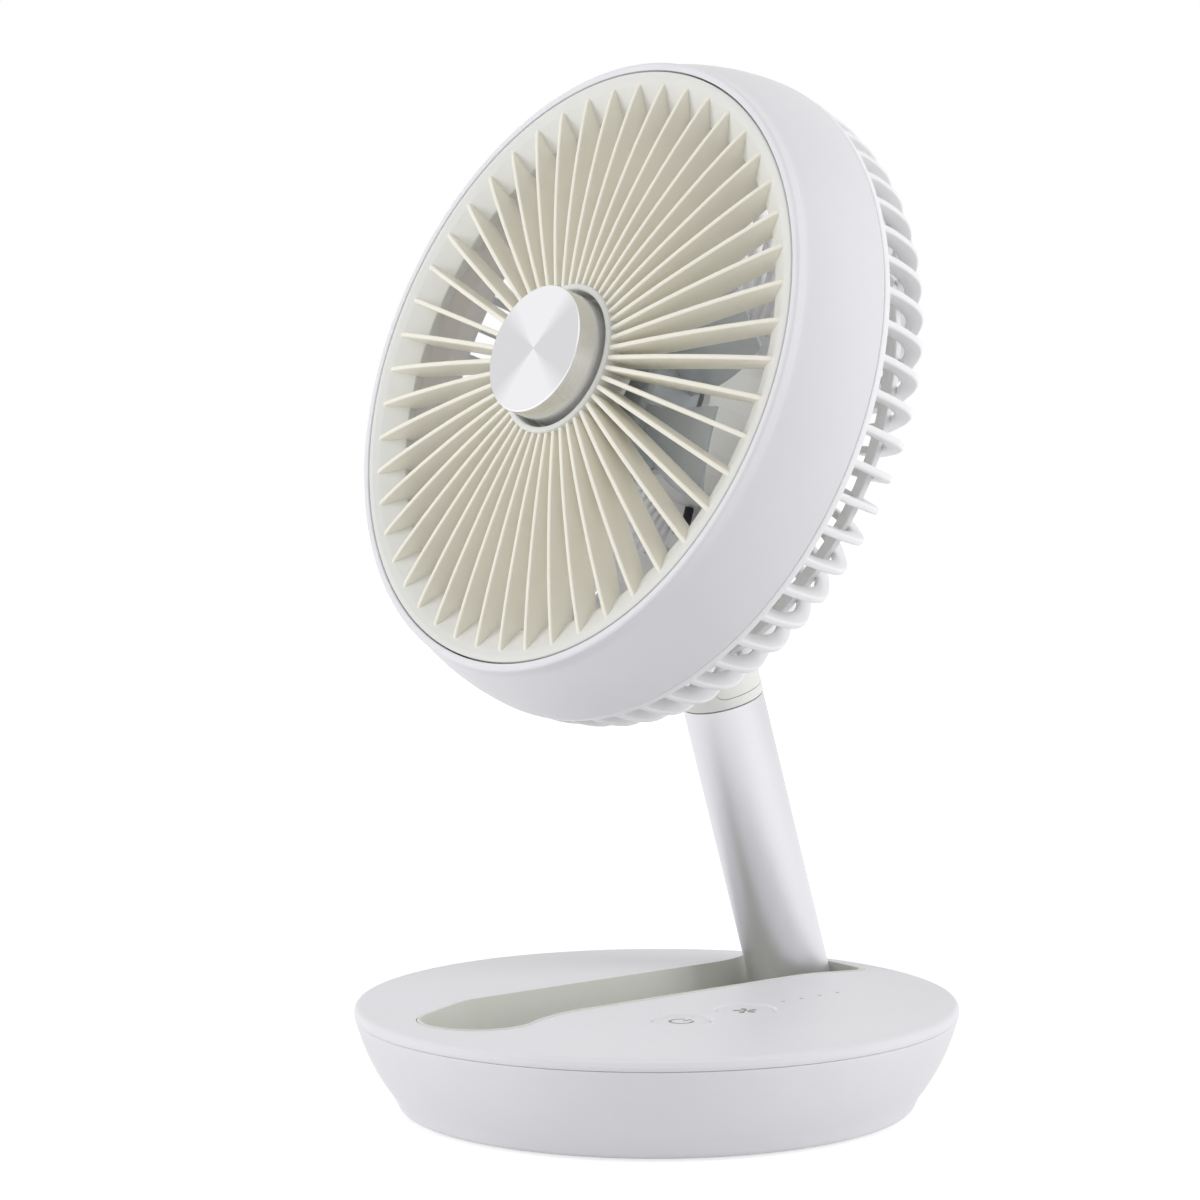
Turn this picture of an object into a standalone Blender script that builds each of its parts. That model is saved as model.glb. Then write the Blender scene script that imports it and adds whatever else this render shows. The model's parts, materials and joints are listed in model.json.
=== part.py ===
"""Cordless desk fan: a round weighted base, a folding arm and a tilting fan head.

The base stands on z = 0 with its centre at the origin. The head faces -Y and the arm
stands in a channel that runs from the rear (+Y) to a pocket at the front of the base.
"""
import math

import bmesh
import bpy
from mathutils import Matrix, Vector

MM = 0.001
GAP = 0.3 * MM
OBJECT_NAME = "cordless_desk_fan"

# Base: outside shape
BASE_RADIUS = 105.0 * MM
BASE_HEIGHT = 36.8 * MM
LID_EDGE_DROP = 1.8 * MM
LID_EDGE_INSET = 1.4 * MM
LID_WALL = 2.0 * MM
SEAM_DROP = 4.1 * MM
SEAM_INSET = 0.4 * MM
BOWL_LOWER_INSET = 15.0 * MM
BOWL_LOWER_HEIGHT = 3.9 * MM
BOWL_BULGE = 1.8 * MM
BOWL_WALL = 2.0 * MM
BOWL_FLOOR = 1.8 * MM
PAD_INSET = 21.7 * MM
PAD_THICKNESS = 1.2 * MM
BOWL_CLEAR = 0.2 * MM

# Channel that takes the folded arm
ARM_X = -21.5 * MM
CHANNEL_LEFT = -41.3 * MM
CHANNEL_RIGHT = -2.7 * MM
CHANNEL_TURN = 17.0 * MM
CHANNEL_CORNER = 25.0 * MM
POCKET_X = -12.0 * MM
POCKET_SETBACK = 36.0 * MM
POCKET_RADIUS = 19.5 * MM
POCKET_START = 207
NECK_CURVE_RADIUS = 60.0 * MM
FLARE = 6.5 * MM
FLARE_SETBACK = 23.5 * MM
FLARE_RISE = 2.5 * MM
FLARE_CORNER = 3.0 * MM
CHANNEL_END_CORNER = 7.0 * MM
CHANNEL_END_RIGHT = 3.5 * MM
CHANNEL_END_MIDDLE = 2.0 * MM
CHANNEL_END_LEFT = 13.5 * MM
LINER_WALL = 1.3 * MM
LINER_FLOOR = 1.3 * MM
LINER_RIM = 0.5 * MM

# Controls on the lid
BUTTON_X = 33.3 * MM
POWER_Y = -17.2 * MM
SPEED_Y = 11.8 * MM
BUTTON_RADIUS = 9.8 * MM
BUTTON_TRAVEL = 0.8 * MM
BUTTON_SINK = 0.5 * MM
BUTTON_FLANGE = 1.4 * MM
BUTTON_FLANGE_HEIGHT = 1.2 * MM
BUTTON_STEM_RADIUS = 2.0 * MM
RECESS_RADIUS = 11.0 * MM
RECESS_DEPTH = 1.0 * MM
LIGHT_X = 31.5 * MM
LIGHT_Y = 31.0 * MM
LIGHT_PITCH = 8.5 * MM
LIGHT_COUNT = 4
LIGHT_RADIUS = 0.6 * MM
LIGHT_BAR_WIDTH = 4.0 * MM
LIGHT_BAR_HEIGHT = 1.4 * MM

# Inside the base
BOARD_WIDTH = 22.0 * MM
BOARD_LENGTH = 96.0 * MM
BOARD_Y = 17.0 * MM
BOARD_THICKNESS = 1.6 * MM
BOARD_DROP = 7.2 * MM
SWITCH_SIDE = 6.0 * MM
POST_RADIUS = 2.2 * MM
CELL_RADIUS = 9.2 * MM
CELL_LENGTH = 65.0 * MM
CELL_SETBACK = 52.0 * MM
CELL_PITCH = 19.2 * MM
CELL_COUNT = 2
TRAY_WALL = 1.6 * MM
BALLAST_THICKNESS = 6.0 * MM
BALLAST_MARGIN = 3.0 * MM
SOCKET_ANGLE = math.radians(64.0)
SOCKET_WIDTH = 9.0 * MM
SOCKET_HEIGHT = 3.4 * MM
SOCKET_LENGTH = 7.4 * MM
SOCKET_WALL = 0.4 * MM
SOCKET_Z = 19.0 * MM
SOCKET_BOARD_THICKNESS = 1.2 * MM
SOCKET_BOARD_WIDTH = 15.0 * MM
SOCKET_BOARD_LENGTH = 13.0 * MM
SOCKET_BOARD_SET = 3.5 * MM

# Arm
PIVOT_SETBACK = 22.7 * MM
PIVOT_DROP = 21.4 * MM
ARM_LEAN = math.radians(17.25)
TUBE_SET = 5.0 * MM
TUBE_RADIUS = 14.8 * MM
TUBE_WALL = 1.2 * MM
TUBE_START = 15.8 * MM
SPIGOT_LENGTH = 18.0 * MM
FOOT_FLANGE = 2.0 * MM
FOOT_FLANGE_INSET = 0.8 * MM
KNUCKLE_RADIUS = 6.0 * MM
KNUCKLE_HALF = 7.2 * MM
LOWER_PIN_RADIUS = 2.5 * MM
WASHER_THICKNESS = 0.7 * MM
WASHER_RADIUS = 4.8 * MM
EAR_THICKNESS = 3.0 * MM
EAR_RADIUS = 5.0 * MM
BRACKET_THICKNESS = 1.6 * MM
BRACKET_FRONT = 12.0 * MM
BRACKET_REAR = 4.0 * MM

# Cap of the arm and the head's hinge
POCKET_PAST = 0.34 * MM
CAP_REACH = 26.24 * MM
UPPER_PIVOT_SET = -3.05 * MM
CAP_RADIUS = 15.0 * MM
CAP_RING = 4.3 * MM
CORE_HALF = 10.3 * MM
SLOT_HALF = 4.25 * MM
SLOT_REAR_RISE = 12.0 * MM
CROWN_SHOULDER = 7.0 * MM
CROWN_RISE = 22.0 * MM
CROWN_CENTRE = 14.0 * MM
UPPER_PIN_RADIUS = 1.8 * MM
UPPER_PIN_HALF = 9.2 * MM
COVER_CORNER = 3.0 * MM
NECK_HALF = 3.9 * MM
NECK_HUB_RADIUS = 6.5 * MM
NECK_WIDTH = 16.0 * MM
NECK_FOOT_HALF_X = 13.5 * MM
NECK_FOOT_HALF_Y = 20.0 * MM
NECK_FOOT_THICKNESS = 2.7 * MM
FOLD_GAP = 1.0 * MM

# Head: distances along its axis are measured forward from the tips of the fins
HEAD_TILT = math.radians(19.34)
HEAD_BACK = 75.0 * MM
MOUTH_RADIUS = 105.0 * MM
LIP_WIDTH = 2.8 * MM
LIP_HEIGHT = 0.5 * MM
BARREL_FLARE = 10.7 * MM
SEAM_DEPTH = 31.2 * MM
BARREL_BULGE = 1.6 * MM
BARREL_WALL = 2.2 * MM
DUCT_WALL = 2.0 * MM
DUCT_END = 27.0 * MM
DUCT_FRONT = 7.7 * MM

# Front grille
FIN_COUNT = 48
FIN_PHASE = math.radians(1.65)
FIN_THICKNESS = 1.6 * MM
BEZEL_WIDTH = 4.4 * MM
THROAT_SETBACK = 13.4 * MM
THROAT_DEPTH = 5.6 * MM
GRILLE_REAR = 9.0 * MM
RING_WALL = 1.5 * MM
COLLAR_RADIUS = 26.45 * MM
COLLAR_WALL = 2.25 * MM
COLLAR_FRONT = 6.4 * MM
COLLAR_REAR = 6.5 * MM
FIN_CROWN = 5.5 * MM
FIN_OUTER_RISE = 2.9 * MM
FIN_INNER_RISE = 4.9 * MM
FIN_ROOT_REAR = 5.5 * MM
CAP_DISC_RADIUS = 22.4 * MM
CAP_DISC_FRONT = 16.3 * MM
CAP_DISC_EDGE = 0.8 * MM

# Rear guard
RIB_COUNT = 61
RIB_THICKNESS = 2.6 * MM
GUARD_RING = 3.0 * MM
GUARD_RING_DEPTH = 7.0 * MM
SEAM_STEP = 0.4 * MM
RIB_LAP = 1.0 * MM
SHOULDER_INSET = 1.5 * MM
SHOULDER_DEPTH = 46.0 * MM
BEND_INSET = 7.2 * MM
BEND_DEPTH = 58.2 * MM
HEEL_INSET = 21.2 * MM
HEEL_DEPTH = 67.5 * MM
FLAT_INSET = 37.7 * MM
INNER_FLAT_INSET = 41.7 * MM
INNER_HEEL_INSET = 19.7 * MM
INNER_HEEL_DEPTH = 57.5 * MM
INNER_BEND_INSET = 9.5 * MM
INNER_BEND_DEPTH = 45.5 * MM
BAND_OUTER_INSET = 20.2 * MM
BAND_OUTER_DEPTH = 58.2 * MM
BAND_INNER_INSET = 31.7 * MM
BAND_INNER_DEPTH = 64.7 * MM
BAND_THICKNESS = 2.6 * MM
CENTRE_RADIUS = 36.0 * MM
RIB_DEPTH = 5.0 * MM
PAD_FRAME = 2.0 * MM
PAD_FLOOR = 3.0 * MM

# Motor and rotor
MOTOR_RADIUS = 29.5 * MM
MOTOR_LENGTH = 32.0 * MM
SHAFT_RADIUS = 2.5 * MM
HUB_RADIUS = 30.0 * MM
HUB_FRONT = 12.0 * MM
HUB_LENGTH = 22.0 * MM
HUB_WALL = 2.0 * MM
BOSS_RADIUS = 6.0 * MM
BLADE_COUNT = 7
BLADE_CLEARANCE = 29.4 * MM
BLADE_THICKNESS = 1.8 * MM
BLADE_ROOT_PITCH = math.radians(42.0)
BLADE_TIP_PITCH = math.radians(24.0)
BLADE_ROOT_CHORD = 24.0 * MM
BLADE_TIP_CHORD = 34.0 * MM
BLADE_SWEEP = math.radians(14.0)
BLADE_PHASE = math.radians(15.0)
LEAD_RADIUS = 1.6 * MM
LEAD_STRAIGHT = 3.0 * MM
LEAD_X = 0.5 * MM
LEAD_BEND = ((0.2, 0.52), (0.61, 0.9))
OUTLET_X = 1.5 * MM
OUTLET_Y = 7.84 * MM
CLIP_Y = 43.0 * MM
CLIP_WIDTH = 7.0 * MM
CLIP_LENGTH = 5.0 * MM

# Facets round the large and the small turned pieces
LARGE_STEPS = 40
SMALL_STEPS = 24
TINY_STEPS = 12
CORNER_STEPS = 3

# Places worked out from the sizes above
SEAM_HEIGHT = BASE_HEIGHT - SEAM_DROP
PIVOT_Z = BASE_HEIGHT - PIVOT_DROP
POCKET_Y = POCKET_SETBACK - BASE_RADIUS
CHANNEL_TURN_Y = POCKET_Y + CHANNEL_TURN
FLARE_Y = BASE_RADIUS - FLARE_SETBACK
PIVOT_Y = BASE_RADIUS - PIVOT_SETBACK
CELL_X = BASE_RADIUS - CELL_SETBACK
ARM_LENGTH = PIVOT_Y - POCKET_Y + POCKET_PAST
TUBE_END = ARM_LENGTH - CAP_REACH
LIP_RADIUS = MOUTH_RADIUS + LIP_WIDTH
SEAM_RADIUS = MOUTH_RADIUS + BARREL_FLARE
TIP_RADIUS = MOUTH_RADIUS - BEZEL_WIDTH
THROAT_RADIUS = MOUTH_RADIUS - THROAT_SETBACK
BLADE_RADIUS = THROAT_RADIUS - BLADE_CLEARANCE
PIVOT_CLEARANCE = BASE_HEIGHT + FOLD_GAP - (PIVOT_Z + UPPER_PIVOT_SET)
PIVOT_DEPTH = HEAD_BACK + PIVOT_CLEARANCE
HEAD_DROP = ARM_LENGTH - PIVOT_Y
BOWL_FLOOR_TOP = PAD_THICKNESS + GAP + BOWL_FLOOR
LINER_FLOOR_TOP = BOWL_FLOOR_TOP + GAP + LINER_FLOOR
CAP_START = TUBE_END + GAP
CAP_SHOULDER = CAP_START + CAP_RING
LID_UNDERSIDE = BASE_HEIGHT - LID_WALL
BOARD_TOP = LID_UNDERSIDE - BOARD_DROP + BOARD_THICKNESS
BUTTON_TOP = BASE_HEIGHT - BUTTON_SINK
GUARD_BACK = -HEAD_BACK
# A round wall of few facets comes this share nearer to its axis between its corners
FACET_SHARE = 1 - math.cos(math.pi / LARGE_STEPS)
DUCT_RADIUS = (THROAT_RADIUS + RING_WALL + GAP) * (1 + FACET_SHARE)
GRILLE_RADIUS = MOUTH_RADIUS * (1 - FACET_SHARE) - GAP
RING_FRONT = -SEAM_DEPTH - GAP

cutters = bpy.data.collections.new("cutters")
parts = bpy.data.collections.new(OBJECT_NAME)


def clear_scene():
    for item in list(bpy.data.objects):
        bpy.data.objects.remove(item, do_unlink=True)
    bpy.context.scene.collection.children.link(parts)
    bpy.context.scene.collection.children.link(cutters)


def make_material(name, color, roughness, metallic=0.0, alpha=1.0):
    material = bpy.data.materials.new(name)
    material.use_nodes = True
    shader = material.node_tree.nodes["Principled BSDF"]
    shader.inputs["Base Color"].default_value = (*color, 1.0)
    shader.inputs["Roughness"].default_value = roughness
    shader.inputs["Metallic"].default_value = metallic
    shader.inputs["Alpha"].default_value = alpha
    return material


def make_empty(name, location, turn_x=0.0, parent=None):
    empty = bpy.data.objects.new(name, None)
    empty.location = location
    empty.rotation_euler = (turn_x, 0.0, 0.0)
    empty.parent = parent
    parts.objects.link(empty)
    return empty


def add_mesh(name, mesh, collection=None):
    item = bpy.data.objects.new(name, mesh)
    (collection or cutters).objects.link(item)
    item.hide_render = True
    item.display_type = "WIRE"
    return item


def publish(item, name, material, parent=None, smooth=40.0):
    """Turn a working shape into a named part, in its parent's frame."""
    if any(modifier.type == "BOOLEAN" for modifier in item.modifiers):
        merge_flats(item)
    item.name = name
    item.data.name = name
    cutters.objects.unlink(item)
    parts.objects.link(item)
    item.hide_render = False
    item.display_type = "SOLID"
    item.data.materials.clear()
    item.data.materials.append(material)
    item.data.shade_smooth()
    item.data.set_sharp_from_angle(angle=math.radians(smooth))
    item.parent = parent
    return item


def arc(centre, radius, start, end, count):
    """Points on an arc, angles in degrees."""
    points = []
    for i in range(count + 1):
        angle = math.radians(start + (end - start) * i / count)
        points.append((centre[0] + radius * math.cos(angle), centre[1] + radius * math.sin(angle)))
    return points


def bulged(start, end, bulge, count):
    """Points on the arc from start to end that stands out by bulge to the left of the chord."""
    start, end = Vector(start), Vector(end)
    chord = end - start
    half = chord.length / 2
    radius = (half * half + bulge * bulge) / (2 * bulge)
    left = Vector((-chord.y, chord.x)).normalized()
    centre = (start + end) / 2 - left * (radius - bulge)
    span = math.asin(min(1.0, half / radius))
    points = []
    for i in range(count + 1):
        angle = span * (1 - 2 * i / count)
        outward = Matrix.Rotation(angle, 2) @ left
        points.append(tuple(centre + outward * radius))
    return points


def rounded(corners, count=CORNER_STEPS):
    """An outline from (x, y, radius) corners, each rounded by an arc."""
    outline = []
    for i, (x, y, radius) in enumerate(corners):
        corner = Vector((x, y))
        if radius <= 0:
            outline.append((x, y))
            continue
        before = (Vector(corners[i - 1][:2]) - corner).normalized()
        after = (Vector(corners[(i + 1) % len(corners)][:2]) - corner).normalized()
        half = before.angle(after) / 2
        middle = corner + (before + after).normalized() * (radius / math.sin(half))
        first = corner + before * (radius / math.tan(half)) - middle
        last = corner + after * (radius / math.tan(half)) - middle
        turn = first.angle_signed(last)
        for k in range(count + 1):
            point = middle + Matrix.Rotation(-turn * k / count, 2) @ first
            outline.append(tuple(point))
    return outline


def turned(name, profile, steps, closed=False):
    """Revolve an (r, z) profile that runs down its outer side, about local Z."""
    mesh = bpy.data.meshes.new(name)
    count = len(profile)
    edges = [(i, i + 1) for i in range(count - 1)]
    if closed:
        edges.append((count - 1, 0))
    mesh.from_pydata([(r, 0.0, z) for r, z in profile], edges, [])
    item = add_mesh(name, mesh)
    screw = item.modifiers.new("turn", "SCREW")
    screw.angle = math.tau
    screw.steps = steps
    screw.render_steps = steps
    screw.use_merge_vertices = True
    screw.merge_threshold = 0.00001
    screw.use_smooth_shade = True
    return item


def prism(name, outline, low, high):
    """A flat outline in local XY, filled and extruded from low to high along local Z."""
    curve = bpy.data.curves.new(name, "CURVE")
    curve.dimensions = "2D"
    curve.fill_mode = "BOTH"
    curve.extrude = (high - low) / 2
    spline = curve.splines.new("POLY")
    spline.points.add(len(outline) - 1)
    for point, (x, y) in zip(spline.points, outline):
        point.co = (x, y, 0.0, 1.0)
    spline.use_cyclic_u = True
    return curve_to_mesh(name, curve, Vector((0.0, 0.0, (high + low) / 2)))


def curve_to_mesh(name, curve, shift=Vector()):
    item = bpy.data.objects.new(name, curve)
    bpy.context.scene.collection.objects.link(item)
    graph = bpy.context.evaluated_depsgraph_get()
    mesh = bpy.data.meshes.new_from_object(item.evaluated_get(graph))
    place = item.matrix_world.copy()
    bpy.data.objects.remove(item)
    work = bmesh.new()
    work.from_mesh(mesh)
    bmesh.ops.remove_doubles(work, verts=work.verts, dist=0.00001)
    bmesh.ops.recalc_face_normals(work, faces=work.faces)
    bmesh.ops.translate(work, vec=shift, verts=work.verts)
    work.to_mesh(mesh)
    work.free()
    solid = add_mesh(name, mesh)
    solid.matrix_world = place
    return solid


def side_prism(name, outline, low, high):
    """A (y, z) outline extruded along X from low to high."""
    solid = prism(name, outline, low, high)
    solid.data.transform(Matrix(((0, 0, 1, 0), (1, 0, 0, 0), (0, 1, 0, 0), (0, 0, 0, 1))))
    return solid


def front_prism(name, outline, low, high):
    """An (x, z) outline extruded along Y from low to high."""
    solid = prism(name, outline, -high, -low)
    solid.data.transform(Matrix.Rotation(math.pi / 2, 4, "X"))
    return solid


def box(name, low, high):
    work = bmesh.new()
    bmesh.ops.create_cube(work, size=1.0)
    size = [b - a for a, b in zip(low, high)]
    middle = [(a + b) / 2 for a, b in zip(low, high)]
    bmesh.ops.scale(work, vec=size, verts=work.verts)
    bmesh.ops.translate(work, vec=middle, verts=work.verts)
    mesh = bpy.data.meshes.new(name)
    work.to_mesh(mesh)
    work.free()
    return add_mesh(name, mesh)


def rod(name, centre, radius, low, high, axis="Z", steps=TINY_STEPS):
    """A cylinder along one axis through centre, from low to high on that axis."""
    work = bmesh.new()
    bmesh.ops.create_cone(work, cap_ends=True, segments=steps, radius1=radius, radius2=radius,
                          depth=high - low)
    bmesh.ops.translate(work, vec=(0, 0, (low + high) / 2), verts=work.verts)
    if axis == "X":
        bmesh.ops.rotate(work, matrix=Matrix.Rotation(math.pi / 2, 3, "Y"), verts=work.verts)
        bmesh.ops.translate(work, vec=(0, centre[0], centre[1]), verts=work.verts)
    else:
        bmesh.ops.translate(work, vec=(centre[0], centre[1], 0), verts=work.verts)
    mesh = bpy.data.meshes.new(name)
    work.to_mesh(mesh)
    work.free()
    return add_mesh(name, mesh)


def combine(item, other, operation):
    """Add a Boolean; the other shape is parented to the item, so that it follows it."""
    boolean = item.modifiers.new(operation.lower(), "BOOLEAN")
    boolean.operation = operation
    boolean.solver = "EXACT"
    boolean.object = other
    other.parent = item
    return item


def cut(item, *tools):
    for tool in tools:
        combine(item, tool, "DIFFERENCE")
    return item


def fuse(item, *others):
    for other in others:
        combine(item, other, "UNION")
    return item


def keep(item, *limits):
    for limit in limits:
        combine(item, limit, "INTERSECT")
    return item


def merge_flats(item):
    """Join the flat faces that a Boolean has split."""
    flats = item.modifiers.new("flats", "DECIMATE")
    flats.decimate_type = "DISSOLVE"
    flats.angle_limit = math.radians(0.5)
    return item


def group(name, items):
    """Join working shapes that do not touch into one working shape."""
    work = bmesh.new()
    graph = bpy.context.evaluated_depsgraph_get()
    for item in items:
        solid = bpy.data.meshes.new_from_object(item.evaluated_get(graph))
        work.from_mesh(solid)
        for tool in item.children:
            bpy.data.objects.remove(tool)
        bpy.data.objects.remove(item)
    mesh = bpy.data.meshes.new(name)
    work.to_mesh(mesh)
    work.free()
    return add_mesh(name, mesh)


def ring_of(item, count, phase=0.0):
    """Copy a working shape round local Z, as separate solids in one mesh."""
    work = bmesh.new()
    work.from_mesh(item.data)
    bmesh.ops.rotate(work, matrix=Matrix.Rotation(phase, 3, "Z"), verts=work.verts)
    first = work.verts[:] + work.edges[:] + work.faces[:]
    for i in range(1, count):
        copy = bmesh.ops.duplicate(work, geom=first)
        moved = [part for part in copy["geom"] if isinstance(part, bmesh.types.BMVert)]
        turn = Matrix.Rotation(math.tau * i / count, 3, "Z")
        bmesh.ops.rotate(work, matrix=turn, verts=moved)
    work.to_mesh(item.data)
    work.free()
    return item


# Base

def bowl_side(inset, count=5):
    """The bowl's side from the seam down to its lower edge, moved inward by inset."""
    upper = (BASE_RADIUS - SEAM_INSET - inset, SEAM_HEIGHT)
    lower = (BASE_RADIUS - BOWL_LOWER_INSET - inset, BOWL_LOWER_HEIGHT)
    return bulged(upper, lower, BOWL_BULGE, count)


def bowl_space(name, inset, top):
    """The solid space inside the bowl, inset from its outer side."""
    side = bowl_side(inset)
    profile = [(0.0, top), (side[0][0], top)] + side + [(side[-1][0], 0.0), (0.0, 0.0)]
    return turned(name, profile, LARGE_STEPS)


def channel_outline(grow):
    """The channel's inner outline, seen from above and grown outward by grow."""
    left = CHANNEL_LEFT - grow
    right = CHANNEL_RIGHT + grow
    radius = POCKET_RADIUS + grow
    neck = NECK_CURVE_RADIUS - grow
    reach = radius + neck
    neck_x = right + neck
    neck_y = POCKET_Y + math.sqrt(reach ** 2 - (neck_x - POCKET_X) ** 2)
    tangent = math.degrees(math.atan2(neck_y - POCKET_Y, neck_x - POCKET_X))
    corners = [
        (left, CHANNEL_TURN_Y, CHANNEL_CORNER),
        (*arc((POCKET_X, POCKET_Y), radius, POCKET_START, POCKET_START, 1)[0], 0.0),
        (right, neck_y, 0.0),
        (right, FLARE_Y - grow, FLARE_CORNER),
        (right + FLARE, FLARE_Y + FLARE_RISE - grow, FLARE_CORNER),
        (right + FLARE, BASE_RADIUS - CHANNEL_END_RIGHT + grow, CHANNEL_END_CORNER),
        (ARM_X, BASE_RADIUS - CHANNEL_END_MIDDLE + grow, 0.0),
        (left - FLARE, BASE_RADIUS - CHANNEL_END_LEFT + grow, CHANNEL_END_CORNER),
        (left - FLARE, FLARE_Y + FLARE_RISE - grow, FLARE_CORNER),
        (left, FLARE_Y - grow, FLARE_CORNER),
    ]
    outline = rounded(corners)
    pocket = arc((POCKET_X, POCKET_Y), radius, POCKET_START, 360 + tangent, 14)
    bend = arc((neck_x, neck_y), neck, 180 + tangent, 180, 4)
    turn_points = CORNER_STEPS + 1
    return outline[:turn_points] + pocket + bend[1:] + outline[turn_points + 2:]


def make_pad(material):
    radius = BASE_RADIUS - PAD_INSET
    profile = [(0.0, PAD_THICKNESS), (radius, PAD_THICKNESS), (radius, 0.0), (0.0, 0.0)]
    publish(turned("pad", profile, LARGE_STEPS), "non_slip_pad", material)


def socket_frame():
    """Where the charge socket sits: local +X points out of the bowl."""
    return Matrix.Rotation(SOCKET_ANGLE, 4, "Z")


def socket_mouth():
    """How far out the socket's mouth lies: just inside the bowl's outer side."""
    height = SOCKET_Z - SOCKET_HEIGHT / 2
    side = bowl_side(0.0)
    for (r0, z0), (r1, z1) in zip(side, side[1:]):
        if z1 <= height <= z0:
            return r1 + (r0 - r1) * (height - z1) / (z0 - z1) - BOWL_CLEAR - 0.6 * MM
    return side[0][0]


def socket_posts():
    reach = socket_mouth() - SOCKET_BOARD_SET - SOCKET_BOARD_LENGTH + 3.0 * MM
    top = SOCKET_Z - SOCKET_HEIGHT / 2 - SOCKET_BOARD_THICKNESS - 2 * GAP
    posts = []
    for side in (-1, 1):
        spot = socket_frame() @ Vector((reach, side * SOCKET_BOARD_WIDTH / 3, 0.0))
        posts.append(rod("post", spot, POST_RADIUS, BOWL_FLOOR_TOP - BOWL_FLOOR / 2, top))
    return posts


def make_bowl(material):
    outer = bowl_side(0.0)
    outer[0] = (outer[0][0], SEAM_HEIGHT - GAP / 2)
    inner = bowl_side(BOWL_WALL)
    inner[0] = (inner[0][0], SEAM_HEIGHT - GAP / 2)
    pad_edge = BASE_RADIUS - PAD_INSET + GAP
    profile = [(0.0, BOWL_FLOOR_TOP)]
    profile += [(inner[-1][0], BOWL_FLOOR_TOP)]
    profile += list(reversed(inner))
    profile += outer
    profile += [(outer[-1][0] - 1.6 * MM, 1.7 * MM), (outer[-1][0] - 4.0 * MM, BOWL_CLEAR)]
    profile += [(pad_edge, BOWL_CLEAR), (pad_edge, PAD_THICKNESS + GAP), (0.0, PAD_THICKNESS + GAP)]
    bowl = turned("bowl", profile, LARGE_STEPS)
    half = SOCKET_WIDTH / 2 + GAP
    rise = SOCKET_HEIGHT / 2 + GAP
    opening = box("socket_hole", (BASE_RADIUS - 30.0 * MM, -half, SOCKET_Z - rise),
                  (BASE_RADIUS + 5.0 * MM, half, SOCKET_Z + rise))
    opening.data.transform(socket_frame())
    publish(cut(fuse(bowl, *socket_posts()), opening), "base_bowl", material)


def make_lid(material):
    edge = BASE_RADIUS - LID_EDGE_INSET
    bottom = SEAM_HEIGHT + GAP / 2
    profile = [(0.0, BASE_HEIGHT), (edge, BASE_HEIGHT)]
    profile += bulged((edge, BASE_HEIGHT), (BASE_RADIUS, BASE_HEIGHT - LID_EDGE_DROP), 0.3 * MM, 3)[1:]
    profile += [(BASE_RADIUS - SEAM_INSET, bottom), (BASE_RADIUS - SEAM_INSET - LID_WALL / 2, bottom)]
    profile += [(BASE_RADIUS - LID_WALL - SEAM_INSET, LID_UNDERSIDE), (0.0, LID_UNDERSIDE)]
    lid = turned("lid", profile, LARGE_STEPS)
    posts = []
    for x in (-1, 1):
        for y in (-1, 1):
            spot = (BUTTON_X + x * (BOARD_WIDTH / 2 - 3.0 * MM),
                    BOARD_Y + y * (BOARD_LENGTH / 2 - 3.0 * MM))
            posts.append(rod("post", spot, POST_RADIUS, BOARD_TOP + GAP, BASE_HEIGHT - LID_WALL / 2))
    fuse(lid, group("posts", posts))
    grow = LINER_WALL + GAP
    hole = prism("channel_hole", channel_outline(grow), BOWL_LOWER_HEIGHT, BASE_HEIGHT + 5.0 * MM)
    cut(lid, keep(hole, bowl_space("hole_limit", BOWL_WALL, BASE_HEIGHT + 10.0 * MM)))
    for y in (POWER_Y, SPEED_Y):
        centre = (BUTTON_X, y)
        cut(lid, rod("recess", centre, RECESS_RADIUS, BASE_HEIGHT - RECESS_DEPTH,
                     BASE_HEIGHT + 5.0 * MM, steps=SMALL_STEPS))
        cut(lid, rod("hole", centre, BUTTON_RADIUS + GAP, 0.0, BASE_HEIGHT + 5.0 * MM,
                     steps=SMALL_STEPS))
    for y in light_places():
        cut(lid, rod("light_hole", (LIGHT_X, y), LIGHT_RADIUS + GAP, 0.0, BASE_HEIGHT + 5.0 * MM,
                     steps=8))
    publish(lid, "base_lid", material)


def make_liner(material):
    top = BASE_HEIGHT + LINER_RIM
    start = BOWL_FLOOR_TOP + GAP
    shell = prism("liner", channel_outline(LINER_WALL), start, top)
    wall = BOWL_WALL + GAP
    keep(shell, bowl_space("liner_limit", wall, top + 5.0 * MM))
    hollow = prism("liner_hollow", channel_outline(0.0), LINER_FLOOR_TOP, top + 5.0 * MM)
    keep(hollow, bowl_space("hollow_limit", wall + LINER_WALL, top + 10.0 * MM))
    publish(cut(shell, hollow), "channel_liner", material)


def light_places():
    return [LIGHT_Y + i * LIGHT_PITCH for i in range(LIGHT_COUNT)]


def make_light_guide(material):
    top = LID_UNDERSIDE - GAP
    half = LIGHT_BAR_WIDTH / 2
    places = light_places()
    bar = box("guide", (LIGHT_X - half, places[0] - half, top - LIGHT_BAR_HEIGHT),
              (LIGHT_X + half, places[-1] + half, top))
    for y in places:
        fuse(bar, rod("pip", (LIGHT_X, y), LIGHT_RADIUS, top - LIGHT_BAR_HEIGHT / 2, BASE_HEIGHT,
                      steps=8))
    publish(bar, "light_guide", material)


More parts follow.
